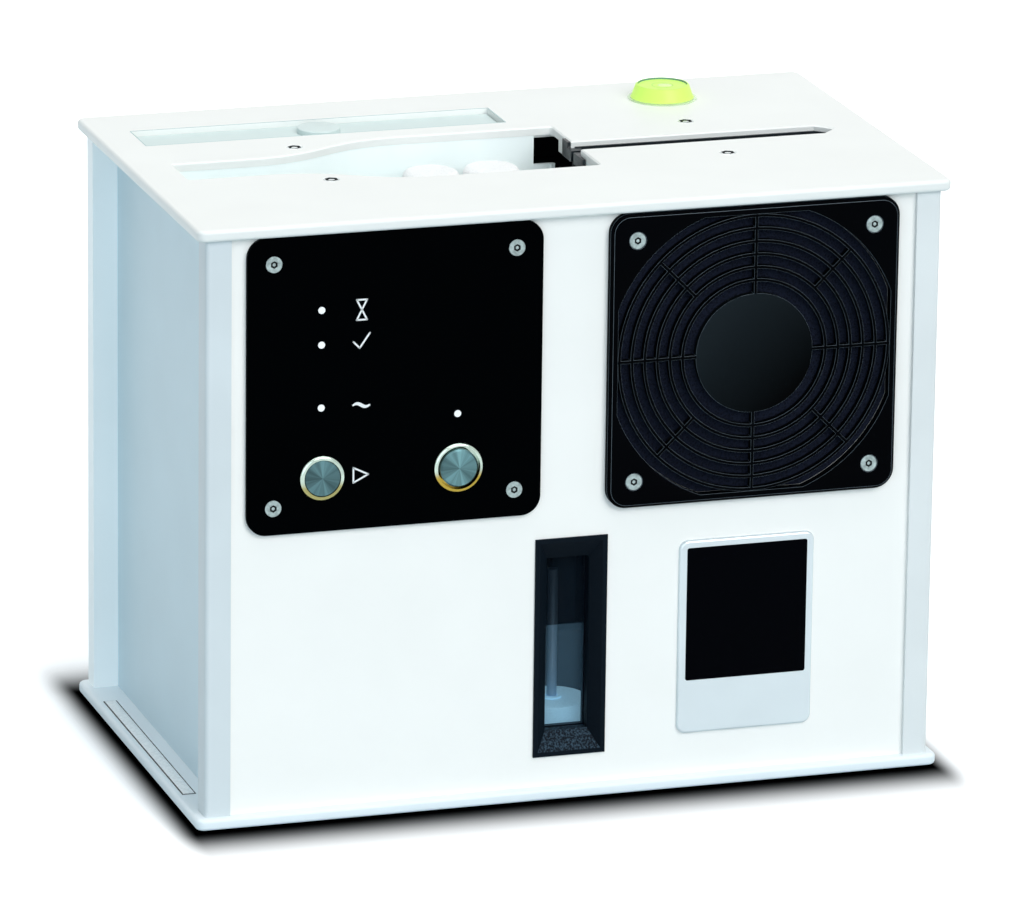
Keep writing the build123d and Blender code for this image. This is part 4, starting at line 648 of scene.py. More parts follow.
@dataclass(frozen=True)
class PaintedSheenDisc(Finish):
    """A moulding whose middle disc is painted lighter: a painted sheen that falls to its lower right.

    Attributes:
        centre: a point of the disc's axis in mm, which runs along y.
        radius: of the disc in mm.
        inner: sRGB hex of the disc's painted sheen.
        sheen_fall: share by which the painted sheen falls from the disc's upper left to its lower right.
        rim: width in mm over which the disc turns into the rest.
        reach: distance from the middle, in radii, at which the tone has fallen all the way.
    """

    centre: Point = (0.0, 0.0, 0.0)
    radius: float = 10.0
    inner: str = "#FFFFFF"
    sheen_fall: float = 0.45
    rim: float = 0.4
    reach: float = 1.4

    def tone(self, tree: Tree, place: Socket) -> Socket:
        """Returns the disc's colour, with its painted sheen, within its radius and the plain one round it.

        Args:
            tree: the material's node tree.
            place: the place on the object.

        Returns:
            The colour's socket.
        """
        from_centre = {"operation": "SUBTRACT", 1: tuple(c * MM for c in self.centre)}
        spoke = add_node(tree, "ShaderNodeVectorMath", from_centre, {0: place}).outputs["Vector"]
        upright = {"operation": "MULTIPLY", 1: (1, 0, 1)}
        flat = add_node(tree, "ShaderNodeVectorMath", upright, {0: spoke}).outputs["Vector"]
        distance = add_node(tree, "ShaderNodeVectorMath", {"operation": "LENGTH"}, {0: flat})
        band = rising(self.radius * MM, (self.radius + self.rim) * MM)
        share = add_node(tree, "ShaderNodeMapRange", band, {"Value": distance.outputs["Value"]})
        rise = add_node(tree, "ShaderNodeVectorMath", {"operation": "DOT_PRODUCT", 1: (-1, 0, 1)}, {0: spoke})
        reach = self.reach * self.radius * MM
        levels = {**rising(-reach, reach), **about_one(self.sheen_fall)}
        level = add_node(tree, "ShaderNodeMapRange", levels, {"Value": rise.outputs["Value"]})
        colour = {"Color": linear(self.inner)}
        disc = add_node(tree, "ShaderNodeHueSaturation", colour, {"Value": level.outputs["Result"]})
        sides = {0: share.outputs["Result"], 6: disc.outputs["Color"], 7: super().tone(tree, place)}
        return add_node(tree, "ShaderNodeMix", {"data_type": "RGBA"}, sides).outputs[2]


@dataclass(frozen=True)
class PaintedUpwardGlints(Finish):
    """A coarse spark-eroded moulding with painted glints: its crests are lighter on the faces that look up.

    Attributes:
        glint_colour: sRGB hex of the painted glints on the crests.
        upward: height of a face's normal at which the painted glint starts and is full.
        crests: height of the grain at which the painted glint starts and is full.
    """

    glint_colour: str = "#FFFFFF"
    upward: tuple[float, float] = (0.2, 0.5)
    crests: tuple[float, float] = (0.46, 0.62)

    def tone(self, tree: Tree, place: Socket) -> Socket:
        """Returns the colour, with painted glints: crests made lighter on faces that look up.

        Args:
            tree: the material's node tree.
            place: the place on the object.

        Returns:
            The colour's socket.
        """
        normal = add_node(tree, "ShaderNodeNewGeometry").outputs["Normal"]
        upward = add_node(tree, "ShaderNodeSeparateXYZ", links={"Vector": normal}).outputs["Z"]
        looks_up = add_node(tree, "ShaderNodeMapRange", rising(*self.upward), {"Value": upward})
        height = self.relief_height(tree, place)
        on_crest = add_node(tree, "ShaderNodeMapRange", rising(*self.crests), {"Value": height})
        both = {0: looks_up.outputs["Result"], 1: on_crest.outputs["Result"]}
        share = add_node(tree, "ShaderNodeMath", {"operation": "MULTIPLY"}, both)
        colours = {"data_type": "RGBA", 7: linear(self.glint_colour)}
        sides = {0: share.outputs["Value"], 6: super().tone(tree, place)}
        return add_node(tree, "ShaderNodeMix", colours, sides).outputs[2]


@dataclass(frozen=True)
class Celled(Finish):
    """Open foam or pile: round cells, with painted shade darkening their hollows.

    Attributes:
        depth: how dark the painted shade in a hollow is, from 0 to 1.
    """

    depth: float = 0.6

    def relief_height(self, tree: Tree, place: Socket) -> Socket:
        """Returns the cells' distance field."""
        cells = {"Scale": 1 / (self.grain * MM), "Randomness": 0.9}
        return add_node(tree, "ShaderNodeTexVoronoi", cells, {"Vector": place}).outputs["Distance"]

    def level(self, tree: Tree, place: Socket) -> Socket:
        """Paints shade into the hollows by darkening the colour there.

        Args:
            tree: the material's node tree.
            place: the place on the object.

        Returns:
            The brightness's socket.
        """
        band = {"From Max": CELL_EDGE, "To Min": 1 - self.depth}
        cells = {"Value": self.relief_height(tree, place)}
        return add_node(tree, "ShaderNodeMapRange", band, cells).outputs["Result"]


@dataclass(frozen=True)
class Clear(Finish):
    """Clear glass or tinted resin.

    Attributes:
        transmission: share of the light that is refracted through it.
        cover: share of the surface that counts at all; a thin pane lets the rest of the light pass straight.
    """

    transmission: float = 1.0
    cover: float = 1.0

    def sockets(self) -> Values:
        """Returns the plain values, with those of clear matter."""
        return {**super().sockets(), "Transmission Weight": self.transmission, "Alpha": self.cover}


# Every pattern's width is in millimetres. The grain of a moulding is usually about 0.1 mm across, and that
# of anodising, turning and print finer still: each is drawn as coarse as it needs to show. Orange peel,
# foam cells and tufts of pile have a usual real width. A glow is painted light: it stands for light that
# comes through a piece or back from the white room.
EVEN = (1.0, 1.0, 1.0)

# Powder-coated sheet, sprayed and baked: a soft orange peel blurs each highlight. Its bevelled edges are
# painted a cooler, darker grey: painted shade that draws a line along each edge.
PLATE_PAINT = Finish("powder_coated_sheet", "#EEF0ED", 0.42, grain=1.2, relief=0.012, variation=0.012)
PAINTED_EDGE_SHADE = replace(PLATE_PAINT, name="edge_painted_shade", colour="#A3BFC0", variation=0.02)
BASE_PAINT = replace(PLATE_PAINT, name="powder_coated_base", colour="#EAF3F7")
# Painted sheet, sprayed thinly: a wider and flatter peel, so that it looks smooth and evenly lit.
FRONT_PAINT = Finish("painted_front_sheet", "#FAF9F5", 0.38, grain=1.6, relief=0.010, variation=0.012)
# Side sheets: painted a darker blue-grey than the front, as painted shade on sides turned from the key lamp.
SIDE_PAINTED_SHADE = Finish("side_sheet_painted_shade", "#D0E4EC", 0.45, grain=1.0, relief=0.012, variation=0.02)
REAR_PAINT = replace(SIDE_PAINTED_SHADE, name="painted_rear_sheet", colour="#E9EDEE")
# Anodised extrusion: a milky metal with faint lines along its length and no sharp reflection. The front
# left post is painted a shade darker, as painted shade, and the rear ones lighter with a glow, as painted
# light from the white room behind.
POST_METAL = Drawn("anodised_post", "#E4E8E8", 0.45, grain=0.6, relief=0.006, variation=0.03, mirror=0.3)
POST_PAINTED_SHADE = replace(POST_METAL, name="front_left_post_painted_shade", colour="#D8E0E3")
POST_PAINTED_LIGHT = replace(POST_METAL, name="rear_post_painted_light", colour="#F4FBFC", glow=0.1)
# Moulded rubber: dull and nearly black, with a skin that shows no highlight.
FOOT_RUBBER = Finish("foot_rubber", "#101112", 0.8, grain=0.6, relief=0.03)
# Stainless screws, headed cold: short tool marks that break the head into lighter and darker grains.
SCREW_STEEL = Drawn(
    "screw_steel", "#9AABAC", 0.30, metallic=1.0, grain=0.35, relief=0.03, variation=0.25, patch=1.6,
    stretch=EVEN,
)
DECK_STEEL = Drawn(
    "deck_screw_steel", "#D9E2E2", 0.25, metallic=1.0, grain=0.35, relief=0.02, variation=0.1,
    stretch=EVEN,
)
# Painted shade on the socket's wall: a dark spot without gloss where the unlit wall lies.
SOCKET_SHADE = Finish("screw_socket_painted_shade", "#23282A", 0.5, mirror=0.1)
# Black anodised plate, dyed and sealed: deep black, with hardly a reflection.
PANEL_BLACK = Finish(
    "anodised_black_panel", "#010203", 0.32, grain=0.7, relief=0.004, variation=0.08, mirror=0.004,
)
# Screen print: a flat and matt white with a crisp edge.
PRINT_WHITE = Finish("screen_print", "#EDEFEF", 0.55, grain=0.3, relief=0.004)
# Polished polycarbonate light pipe, unlit: a white dot under a clear skin.
LAMP_WHITE = Finish("light_pipe", "#FFFFFF", 0.25, grain=0.5, relief=0.002, coat=0.5)
# Rounded edge of black ABS, smoother than the moulded faces and painted grey: a painted highlight that
# draws a thin line of light along it.
GUARD_PAINTED_HIGHLIGHT = Finish("guard_edge_painted_highlight", "#5E6B74", 0.3, grain=0.55, relief=0.01, variation=0.1, mirror=0.3)
# Glass-filled polyamide, moulded: black and satin, deep inside the housing.
FAN_PLASTIC = Finish("fan_plastic", "#07090C", 0.5, grain=0.6, relief=0.02, mirror=0.1)
# Reticulated polyurethane foam: round cells whose hollows are darkened with painted shade.
FILTER_FOAM = Celled(
    "fan_filter_foam", "#171C2A", 0.9, grain=1.1, relief=0.6, depth=0.7, sheen=0.03, mirror=0.05,
)
# Coarsely eroded ABS: a black leathery grain whose crests are painted lighter where the face looks up,
# as painted glints.
WINDOW_ABS = PaintedUpwardGlints(
    "window_bezel_painted_glints", "#0A131B", 0.45, grain=0.8, relief=0.12, patch=0.8, mirror=0.04, glint_colour="#334756",
)
# Acrylic sheet: clear, smooth and hardly mirroring, so it only darkens a little what is behind it.
PANE = Clear(
    "clear_pane", "#02060A", 0.02, grain=4.0, relief=0.002, variation=0.0, transmission=0.0, cover=0.12,
    mirror=0.05,
)
# Moulded ABS tank, wet inside: a dark blue-black that fades into the depth.
TANK_ABS = Finish("tank_abs", "#0A111B", 0.55, grain=0.8, relief=0.02, mirror=0.1)
# Polypropylene float: milky, with a strong glow that is painted light and makes it look lit inside the tank.
FLOAT_PAINTED_LIGHT = Finish("float_painted_glow", "#AEE4FF", 0.5, grain=0.6, relief=0.02, glow=0.5)
# Drawn stainless rod seen through water and damp: bluish, with faint lines along it.
STAINLESS = Drawn("stainless_rod", "#A8CBE6", 0.4, metallic=0.15, grain=0.3, relief=0.004, mirror=0.3)
# Two sheets on the pane: below, a lit bluish haze that is painted light on what lies behind it; above,
# a dark film that is painted shade on it.
PANE_PAINTED_LIGHT = Clear("painted_light_haze", "#6A93AE", 0.4, transmission=0.0, cover=0.17, mirror=0.05)
PANE_PAINTED_SHADE = Clear("painted_shade_film", "#16222E", 0.4, transmission=0.0, cover=0.45, mirror=0.0)
# Moulded ABS pump case: flat grey with a coarse grain.
PUMP_ABS = Finish("pump_housing", "#4A545E", 0.6, grain=0.6, relief=0.03)
# Moulded nylon: dark grey, waxy and even.
VALVE_NYLON = Finish("valve_nylon", "#26292D", 0.5, grain=0.5, relief=0.02)
# Thin white ABS, with a faint glow: painted light that brightens the shaded walls of the well.
TROUGH_ABS = Finish("trough_abs_painted_glow", "#F6FFFE", 0.4, grain=0.8, relief=0.01, glow=0.03)
# Black ABS air duct, its colour taken darker than the plastic's own: painted shade that makes the deep slot
# read as a dark hole, with no gloss to give its walls away.
DUCT_ABS = Finish("duct_painted_shade", "#040607", 0.5, grain=0.8, relief=0.015, mirror=0.05)
# Rough wiper rubber: uneven dark grey with soft glints.
WIPER_RUBBER = Finish(
    "wiper_rubber", "#141C21", 0.35, grain=1.6, relief=0.15, variation=0.5, patch=2.0, mirror=0.4,
)
# Microfibre pile: white and soft, with tufts, faint painted shade between them and a faint rim of light.
ROLLER_PILE = Celled("roller_microfibre", "#FBFCFB", 0.95, grain=0.7, relief=0.25, depth=0.12, sheen=0.4)
# Moulded acetal: creamy white with a waxy gloss.
GEAR_ACETAL = Finish("gear_acetal", "#E6E2D6", 0.45, grain=0.5, relief=0.01)
# Sintered bronze: brown gold, and slightly grainy from its pores.
BUSH_BRONZE = Finish("sintered_bronze", "#A98552", 0.4, metallic=1.0, grain=0.3, relief=0.02)
# Mill-finish aluminium: bright, with rolling lines along x.
PLATE_METAL = Drawn(
    "mill_aluminium", "#B4B7B9", 0.4, metallic=1.0, grain=0.5, relief=0.01, stretch=(0.03, 1.0, 1.0),
)
# Plated steel motor can: plain grey metal with soft reflections.
MOTOR_STEEL = Finish("motor_steel", "#8E9295", 0.4, metallic=1.0, grain=0.6, relief=0.01)
# Ground wheel rubber: matt black.
TYRE_RUBBER = Finish("wheel_rubber", "#17181A", 0.7, grain=0.4, relief=0.03)
# Moulded ABS tray and lid: pale, satin, with an even grain.
TRAY_ABS = Finish("filter_tray_abs", "#CBD5D5", 0.5, grain=0.8, relief=0.01)
LID_ABS = Finish("filter_lid_abs", "#D0DFDD", 0.4, grain=0.8, relief=0.008, variation=0.02)
# Needled fleece: off-white fibre with painted shade in its small hollows.
FILTER_FLEECE = Celled("filter_fleece", "#D9DDD4", 0.9, grain=1.0, relief=0.3, depth=0.3, sheen=0.3)
# Brushed aluminium strip: bright lines along y, with patches that mirror more or less of the room.
STRIP_METAL = Drawn(
    "brushed_strip", "#F6FAFB", 0.36, variation=0.1, patch=1.2, mirror=0.6, grain=0.35, relief=0.02,
    stretch=(1.0, 0.04, 1.0),
)
# Metallised label under clear resin: silver, with a wet-looking skin.
BADGE_METAL = Finish("domed_silver_badge", "#CEDADF", 0.3, metallic=0.6, grain=0.5, relief=0.004, coat=0.6)
# Printed black field of the label: even and deep, without a reflection.
BADGE_FIELD = Finish("badge_field", "#020306", 0.25, grain=0.5, relief=0.002, mirror=0.01)
# Moulded nylon inlet: satin black. Its rocker is polished in the mould and glossier.
INLET_NYLON = Finish("inlet_nylon", "#101113", 0.45, grain=0.5, relief=0.02)
ROCKER_GLOSS = Finish("rocker_gloss", "#0C0C0D", 0.2, grain=0.8, relief=0.002, coat=0.4)
# Folded aluminium case: grey metal with rolling lines along y.
SUPPLY_METAL = Drawn(
    "supply_case", "#A9ADB0", 0.45, metallic=1.0, grain=0.5, relief=0.01, stretch=(1.0, 0.03, 1.0),
)
# Solder mask on glass-fibre board: dark green and glossy.
BOARD_GREEN = Finish("solder_mask", "#12402A", 0.35, grain=0.4, relief=0.01)
# Cast lime acrylic with a glow, which is painted light: it looks brighter than the light that falls on it.
LEVEL_LIME = Clear(
    "level_lime_painted_glow", "#D4FC72", 0.4, grain=2.0, relief=0.003, variation=0.02, transmission=0.25, glow=0.14,
    mirror=0.3,
)
# The same acrylic as a thin flange: nearly clear, with a pale green edge.
LEVEL_FLANGE = Clear(
    "level_flange", "#E4FADB", 0.3, grain=2.0, relief=0.003, variation=0.02, transmission=0.0, cover=0.3,
    mirror=0.1,
)
# Inside of the vial: its wall is painted a dull dark green, as painted shade where it is seen edge on; the
# ring is printed, and the bubble is bright.
LEVEL_WALL = Finish("vial_wall_painted_shade", "#5E8F7C", 0.3)
LEVEL_MARK = Finish("level_ring_print", "#B9DB6C", 0.4)
LEVEL_BUBBLE = Clear("level_bubble", "#E3FCA0", 0.15, transmission=0.0, mirror=0.4)
# Black paint in a seam: a thin dark outline.
EDGE_BLACK = Finish("black_edge", "#15181A", 0.6)


class Softening(Enum):
    """How a CAD node's hard edges are finished: bevel in mm, segments, least angle in degrees."""

    NONE = (0.0, 0, 60.0)
    FINE = (0.15, 1, 60.0)
    SHEET = (0.3, 2, 60.0)
    GRILLE = (0.3, 2, 40.0)


def dress(
    node: str, finish: Finish, softening: Softening = Softening.NONE, edge: Finish | None = None
) -> None:
    """Gives a CAD node its finish, with smooth curved faces and softened edges.

    Args:
        node: the CAD node's name.
        finish: what it is made of.
        softening: how its edges are finished.
        edge: what the softened edges look like, where that differs.
    """
    target = bpy.data.objects[node]
    target.data.materials.clear()
    target.data.materials.append(finish.material())
    target.data.shade_smooth()
    weld = target.modifiers.new("weld", "WELD")
    weld.merge_threshold = WELD_GAP * MM
    width, segments, least_angle = softening.value
    if width > 0:
        bevel = target.modifiers.new("edges", "BEVEL")
        bevel.width = width * MM
        bevel.segments = segments
        bevel.limit_method = "ANGLE"
        bevel.angle_limit = math.radians(least_angle)
        bevel.use_clamp_overlap = True
        bevel.harden_normals = segments > 1
        if segments == 1:
            cleaned = target.modifiers.new("cleaned", "WELD")
            cleaned.merge_threshold = WELD_GAP * MM
        if edge is not None:
            target.data.materials.append(edge.material())
            bevel.material = 1
    split = target.modifiers.new("creases", "EDGE_SPLIT")
    split.split_angle = math.radians(CREASE)


# ---------------------------------------------------------------- sub-assemblies


@dataclass
class Screws:
    """Countersunk screws with a hexagon socket, as one piece for each CAD node.

    The socket's floor rises in the middle to a low pin. The last step of each run draws it in to a point.
    """

    head_radius: float = 3.8
    shank_radius: float = 2.0
    rim: float = 0.35
    head_steps: int = 36
    socket_radius: float = 1.65
    socket_depth: float = 0.9
    pin_share: float = 0.45
    pin_rise: float = 0.8
    pin_dome: float = 0.1
    length: float = 12.0
    steel: Finish = SCREW_STEEL

    def screw(self) -> Part:
        """Makes one screw, its head's face at z = 0.

        Returns:
            A new bmesh.
        """
        part = bmesh.new()
        face_radius = self.head_radius - self.rim
        outer, inner = (
            bmesh.ops.create_circle(part, cap_ends=False, segments=steps, radius=radius)["verts"]
            for steps, radius in ((self.head_steps, face_radius), (6, self.socket_radius))
        )
        bmesh.ops.bridge_loops(part, edges=part.edges[:])
        socket = [e for e in part.edges if all(v in inner for v in e.verts)]
        pin_height = self.pin_rise * self.socket_depth
        pin = [(self.pin_share, 0.0), (1.0, pin_height), (0.5, self.pin_dome), (0.05, 0.0)]
        self.draw_down(part, socket, [(1.0, -self.socket_depth), *pin])
        # The socket's deep wall takes material 1, whose dark colour is painted shade.
        for face in part.faces:
            reach = max(v.co.xy.length for v in face.verts) / self.socket_radius
            deep = min(v.co.z for v in face.verts) < -0.5 * self.socket_depth
            face.material_index = 1 if deep and 0.99 * self.pin_share < reach < 1.01 else 0
        rim = [e for e in part.edges if all(v in outer for v in e.verts)]
        waist = self.shank_radius / self.head_radius
        head = self.head_radius / face_radius
        cone = self.head_radius - self.shank_radius
        self.draw_down(part, rim, [(head, -self.rim), (waist, -cone), (1.0, -self.length), (0.01, 0.0)])
        return part

    @staticmethod
    def draw_down(part: Part, loop: list[bmesh.types.BMEdge], steps: Sequence[tuple[float, float]]) -> None:
        """Extrudes a loop in steps.

        Args:
            part: the bmesh.
            loop: its open loop.
            steps: (scale across, move along z) of each step.
        """
        for across, down in steps:
            made = bmesh.ops.extrude_edge_only(part, edges=loop)["geom"]
            points = [g for g in made if isinstance(g, bmesh.types.BMVert)]
            loop = [g for g in made if isinstance(g, bmesh.types.BMEdge)]
            bmesh.ops.scale(part, vec=(across, across, 1), verts=points)
            bmesh.ops.translate(part, vec=(0, 0, down), verts=points)

    def build(self, name: str, node: str, places: Iterable[Matrix]) -> None:
        """Makes the screws of one CAD node.

        Args:
            name: the piece's name.
            node: the CAD node that they stand for.
            places: one for each screw, its z axis out of the head.
        """
        shape = Shape()
        for place in places:
            shape.add(self.screw(), place)
        shape.piece(name, [self.steel, SOCKET_SHADE], "screws", replaced=[node], sharp=30)


@dataclass
class Casing:
    """Plates, posts, panels, feet and the metal strip on the base plate's left ledge."""

    strip_width: float = 4.9
    strip_length: float = 129.0
    strip_thickness: float = 0.3
    strip_edge: float = 0.15
    strip_lift: float = 0.05
    strip_middle: tuple[float, float] = (-159.05, 0.5)
    strip_outline: float = 0.55
    backing_thickness: float = 0.15
    deck_screw_length: float = 10.2
    base_screw_length: float = 14.2

    def build(self) -> None:
        """Dresses the casing."""
        dress("base_plate", BASE_PAINT)
        dress("top_plate", PLATE_PAINT, Softening.FINE, PAINTED_EDGE_SHADE)
        for side, front_post in (("left", POST_PAINTED_SHADE), ("right", POST_METAL)):
            dress(f"corner_post_front_{side}", front_post, Softening.FINE)
            dress(f"corner_post_rear_{side}", POST_PAINTED_LIGHT, Softening.FINE)
            dress(f"side_panel_{side}", SIDE_PAINTED_SHADE)
        dress("front_panel", FRONT_PAINT)
        dress("rear_panel", REAR_PAINT)
        dress("rubber_feet", FOOT_RUBBER, Softening.SHEET)
        self.build_strip()
        self.build_screws()

    def build_strip(self) -> None:
        """Makes the bare strip, on a thin black backing that shows as its outline."""
        x, y = self.strip_middle
        level = corners("base_plate")[1].z
        wide, long = self.strip_width + 2 * self.strip_outline, self.strip_length + 2 * self.strip_outline
        shape = Shape()
        shape.add(slab(wide, long, self.backing_thickness), shift(x, y, level), 1)
        face = slab(self.strip_width, self.strip_length, self.strip_thickness, edge=self.strip_edge)
        shape.add(face, shift(x, y, level + self.strip_lift), 0)
        shape.piece("ledge_strip", [STRIP_METAL, EDGE_BLACK], "screws")

    def build_screws(self) -> None:
        """Makes the screws of the top plate and of the base plate."""
        deck = Screws(length=self.deck_screw_length, socket_radius=3.0, pin_share=0.5, steel=DECK_STEEL)
        for name, node, facing, kind in (
            ("deck_screws", "top_screws", Facing.UP, deck),
            ("post_screws", "base_screws", Facing.DOWN, Screws(length=self.base_screw_length)),
        ):
            low, high = corners(node)
            inset = kind.head_radius
            face = high.z if facing is Facing.UP else low.z
            places = [
                shift(x, y, face) @ facing.turn()
                for x in (low.x + inset, high.x - inset)
                for y in (low.y + inset, high.y - inset)
            ]
            kind.build(name, node, places)


@dataclass
class ControlPanel:
    """Black panel with lamps, printed signs and two metal push buttons."""

    screw_spacing: float = 105.0
    screw_length: float = 14.2
    # Where the painted reflection on each bezel starts below the button's middle, and the height it blends
    # over.
    reflection_drop: float = 2.5
    reflection_blend: float = 4.0
    print_height: float = 0.05
    line_width: float = 0.75
    sign_column: float = -94.0
    hourglass_level: float = 226.3
    tick_level: float = 212.6
    wave_level: float = 185.2
    arrow_level: float = 155.0
    hourglass_size: tuple[float, float] = (4.4, 8.6)
    tick_size: float = 7.0
    wave_size: tuple[float, float] = (7.6, 1.5)
    wave_width: float = 1.5
    wave_steps: int = 24
    arrow_size: float = 6.4

    def build(self) -> None:
        """Dresses the panel, its buttons and its lamps, and prints the signs."""
        dress("control_panel", PANEL_BLACK, Softening.FINE)
        dress("light_pipes", LAMP_WHITE)
        dress("control_board", BOARD_GREEN)
        for button, steel, reflection_tint in (("start", "#4E6C71", "#9B9865"), ("dry", "#5B7E83", "#AA9440")):
            self.dress_button(button, steel, reflection_tint)
        places = square_places("control_panel", self.screw_spacing)
        places += square_places("fan_guard", self.screw_spacing)
        Screws(length=self.screw_length).build("front_hex_screws", "front_screws", places)
        self.print_signs(corners("control_panel")[0].y)

    def dress_button(self, button: str, steel: str, reflection_tint: str) -> None:
        """Dresses one push button.

        Args:
            button: the button's name.
            steel: sRGB hex of its cap.
            reflection_tint: sRGB hex of the painted reflection on the lower part of its bezel.
        """
        place = tuple(middle(f"{button}_button_cap"))
        # Turned stainless cap: rings pull highlights into wedges that meet in the middle; painted wedges add
        # more.
        cap = Spun(f"{button}_cap_painted_wedges", steel, 0.30, metallic=1.0, grain=0.12, relief=0.004, centre=place)
        # Polished bezel: a mirror for the room; its lower half is painted a brassy colour, a painted
        # reflection.
        bezel = PaintedLowerReflection(
            f"{button}_bezel_painted_reflection",
            "#BCCFC4",
            0.12,
            metallic=1.0,
            grain=2.0,
            relief=0.004,
            variation=0.2,
            patch=5.0,
            lower=reflection_tint,
            line=place[2] - self.reflection_drop,
            blend=self.reflection_blend,
        )
        dress(f"{button}_button_cap", cap)
        dress(f"{button}_button_housing", bezel)

    def print_signs(self, face: float) -> None:
        """Prints an hourglass, a tick, a wave and a start arrow beside their lamps.

        Args:
            face: y of the panel's front face.
        """
        x, z = (size / 2 for size in self.hourglass_size)
        hourglass = [(-x, z), (x, z), (-x, -z), (x, -z)]
        size = self.tick_size
        tick = [(-size / 2, 0), (-size / 8, -size / 2.6), (size / 2, size / 2)]
        half = self.arrow_size / 2
        arrow = [(-half, half), (half, 0), (-half, -half)]
        span, rise = self.wave_size
        shares = [t / self.wave_steps for t in range(self.wave_steps + 1)]
        wave = [(span * (share - 0.5), rise / 2 * math.sin(2 * math.pi * share)) for share in shares]
        shape = Shape()
        for sign, level in (
            (stroke(hourglass, self.line_width, self.print_height, closed=True), self.hourglass_level),
            (stroke(tick, self.line_width, self.print_height), self.tick_level),
            (stroke(arrow, self.line_width, self.print_height, closed=True), self.arrow_level),
            (ribbon(wave, self.wave_width, self.print_height), self.wave_level),
        ):
            shape.add(sign, shift(self.sign_column, face, level) @ Facing.FRONT.turn())
        shape.piece("panel_signs", [PRINT_WHITE], "light_pipes", sharp=80)


@dataclass
class FanGroup:
    """Fan guard, foam filter, fan and the air duct behind it."""

    hub_radius: float = 25.6
    foam_radius: float = 64.4
    foam_steps: int = 96

    def build(self) -> None:
        """Dresses the group and makes the foam filter."""
        # Moulded black ABS with a fine eroded grain: matt rings, and a hub with a painted sheen, lighter at
        # upper left.
        guard = PaintedSheenDisc(
            "guard_abs_painted_hub_sheen",
            "#030406",
            0.4,
            grain=0.55,
            relief=0.03,
            variation=0.18,
            mirror=0.008,
            centre=tuple(middle("fan_guard")),
            radius=self.hub_radius,
            inner="#12171A",
            sheen_fall=0.9,
        )
        dress("fan_guard", guard, Softening.GRILLE, GUARD_PAINTED_HIGHLIGHT)
        dress("fan_housing", FAN_PLASTIC, Softening.FINE)
        dress("fan_rotor", FAN_PLASTIC)
        dress("drying_duct", DUCT_ABS)
        self.build_filter()

    def build_filter(self) -> None:
        """Makes the foam sheet: a disc cut square on its four sides."""
        low, high = corners("fan_filter")
        centre, half = (low + high) / 2, (high - low) / 2
        part = bmesh.new()
        bmesh.ops.create_circle(part, cap_ends=True, segments=self.foam_steps, radius=self.foam_radius)
        for side, limit in ((Vector((1, 0, 0)), half.x), (Vector((0, 1, 0)), half.z)):
            for sign in (-1, 1):
                bmesh.ops.bisect_plane(
                    part,
                    geom=part.verts[:] + part.edges[:] + part.faces[:],
                    plane_co=side * limit * sign,
                    plane_no=side * sign,
                    clear_outer=True,
                )
        sheet = bmesh.ops.extrude_face_region(part, geom=part.faces[:])["geom"]
        top = [g for g in sheet if isinstance(g, bmesh.types.BMVert)]
        bmesh.ops.translate(part, vec=(0, 0, 2 * half.y), verts=top)
        bmesh.ops.triangulate(part, faces=part.faces)
        shape = Shape()
        shape.add(part, shift(centre.x, high.y, centre.z) @ Facing.FRONT.turn())
        foam = shape.piece("fan_foam_sheet", [FILTER_FOAM], "fan_filter", replaced=["fan_filter"])


@dataclass
class WaterSide:
    """Water window, tank, float, pump and drain valve."""

    film_top: float = 78.0
    film_thickness: float = 0.05
    film_margin: float = 0.1

    def build(self) -> None:
        """Dresses the water side, and lays two sheets on the pane: painted light below, painted shade above.
        """
        for node, finish in (
            ("window_bezel", WINDOW_ABS),
            ("window_pane", PANE),
            ("water_tank", TANK_ABS),
            ("float_rod", STAINLESS),
            ("level_float", FLOAT_PAINTED_LIGHT),
            ("water_pump", PUMP_ABS),
            ("drain_valve", VALVE_NYLON),
        ):
            dress(node, finish)
        low, high = corners("window_pane")
        for name, bottom, top, finish in (
            ("pane_painted_light_sheet", low.z, self.film_top, PANE_PAINTED_LIGHT),
            ("pane_painted_shade_sheet", self.film_top, high.z, PANE_PAINTED_SHADE),
        ):
            film = slab(high.x - low.x - 2 * self.film_margin, top - bottom, self.film_thickness)
            place = shift((low.x + high.x) / 2, high.y + 2 * self.film_thickness, (bottom + top) / 2)
            Shape().add(film, place @ Facing.FRONT.turn()).piece(name, [finish], "clear_window")


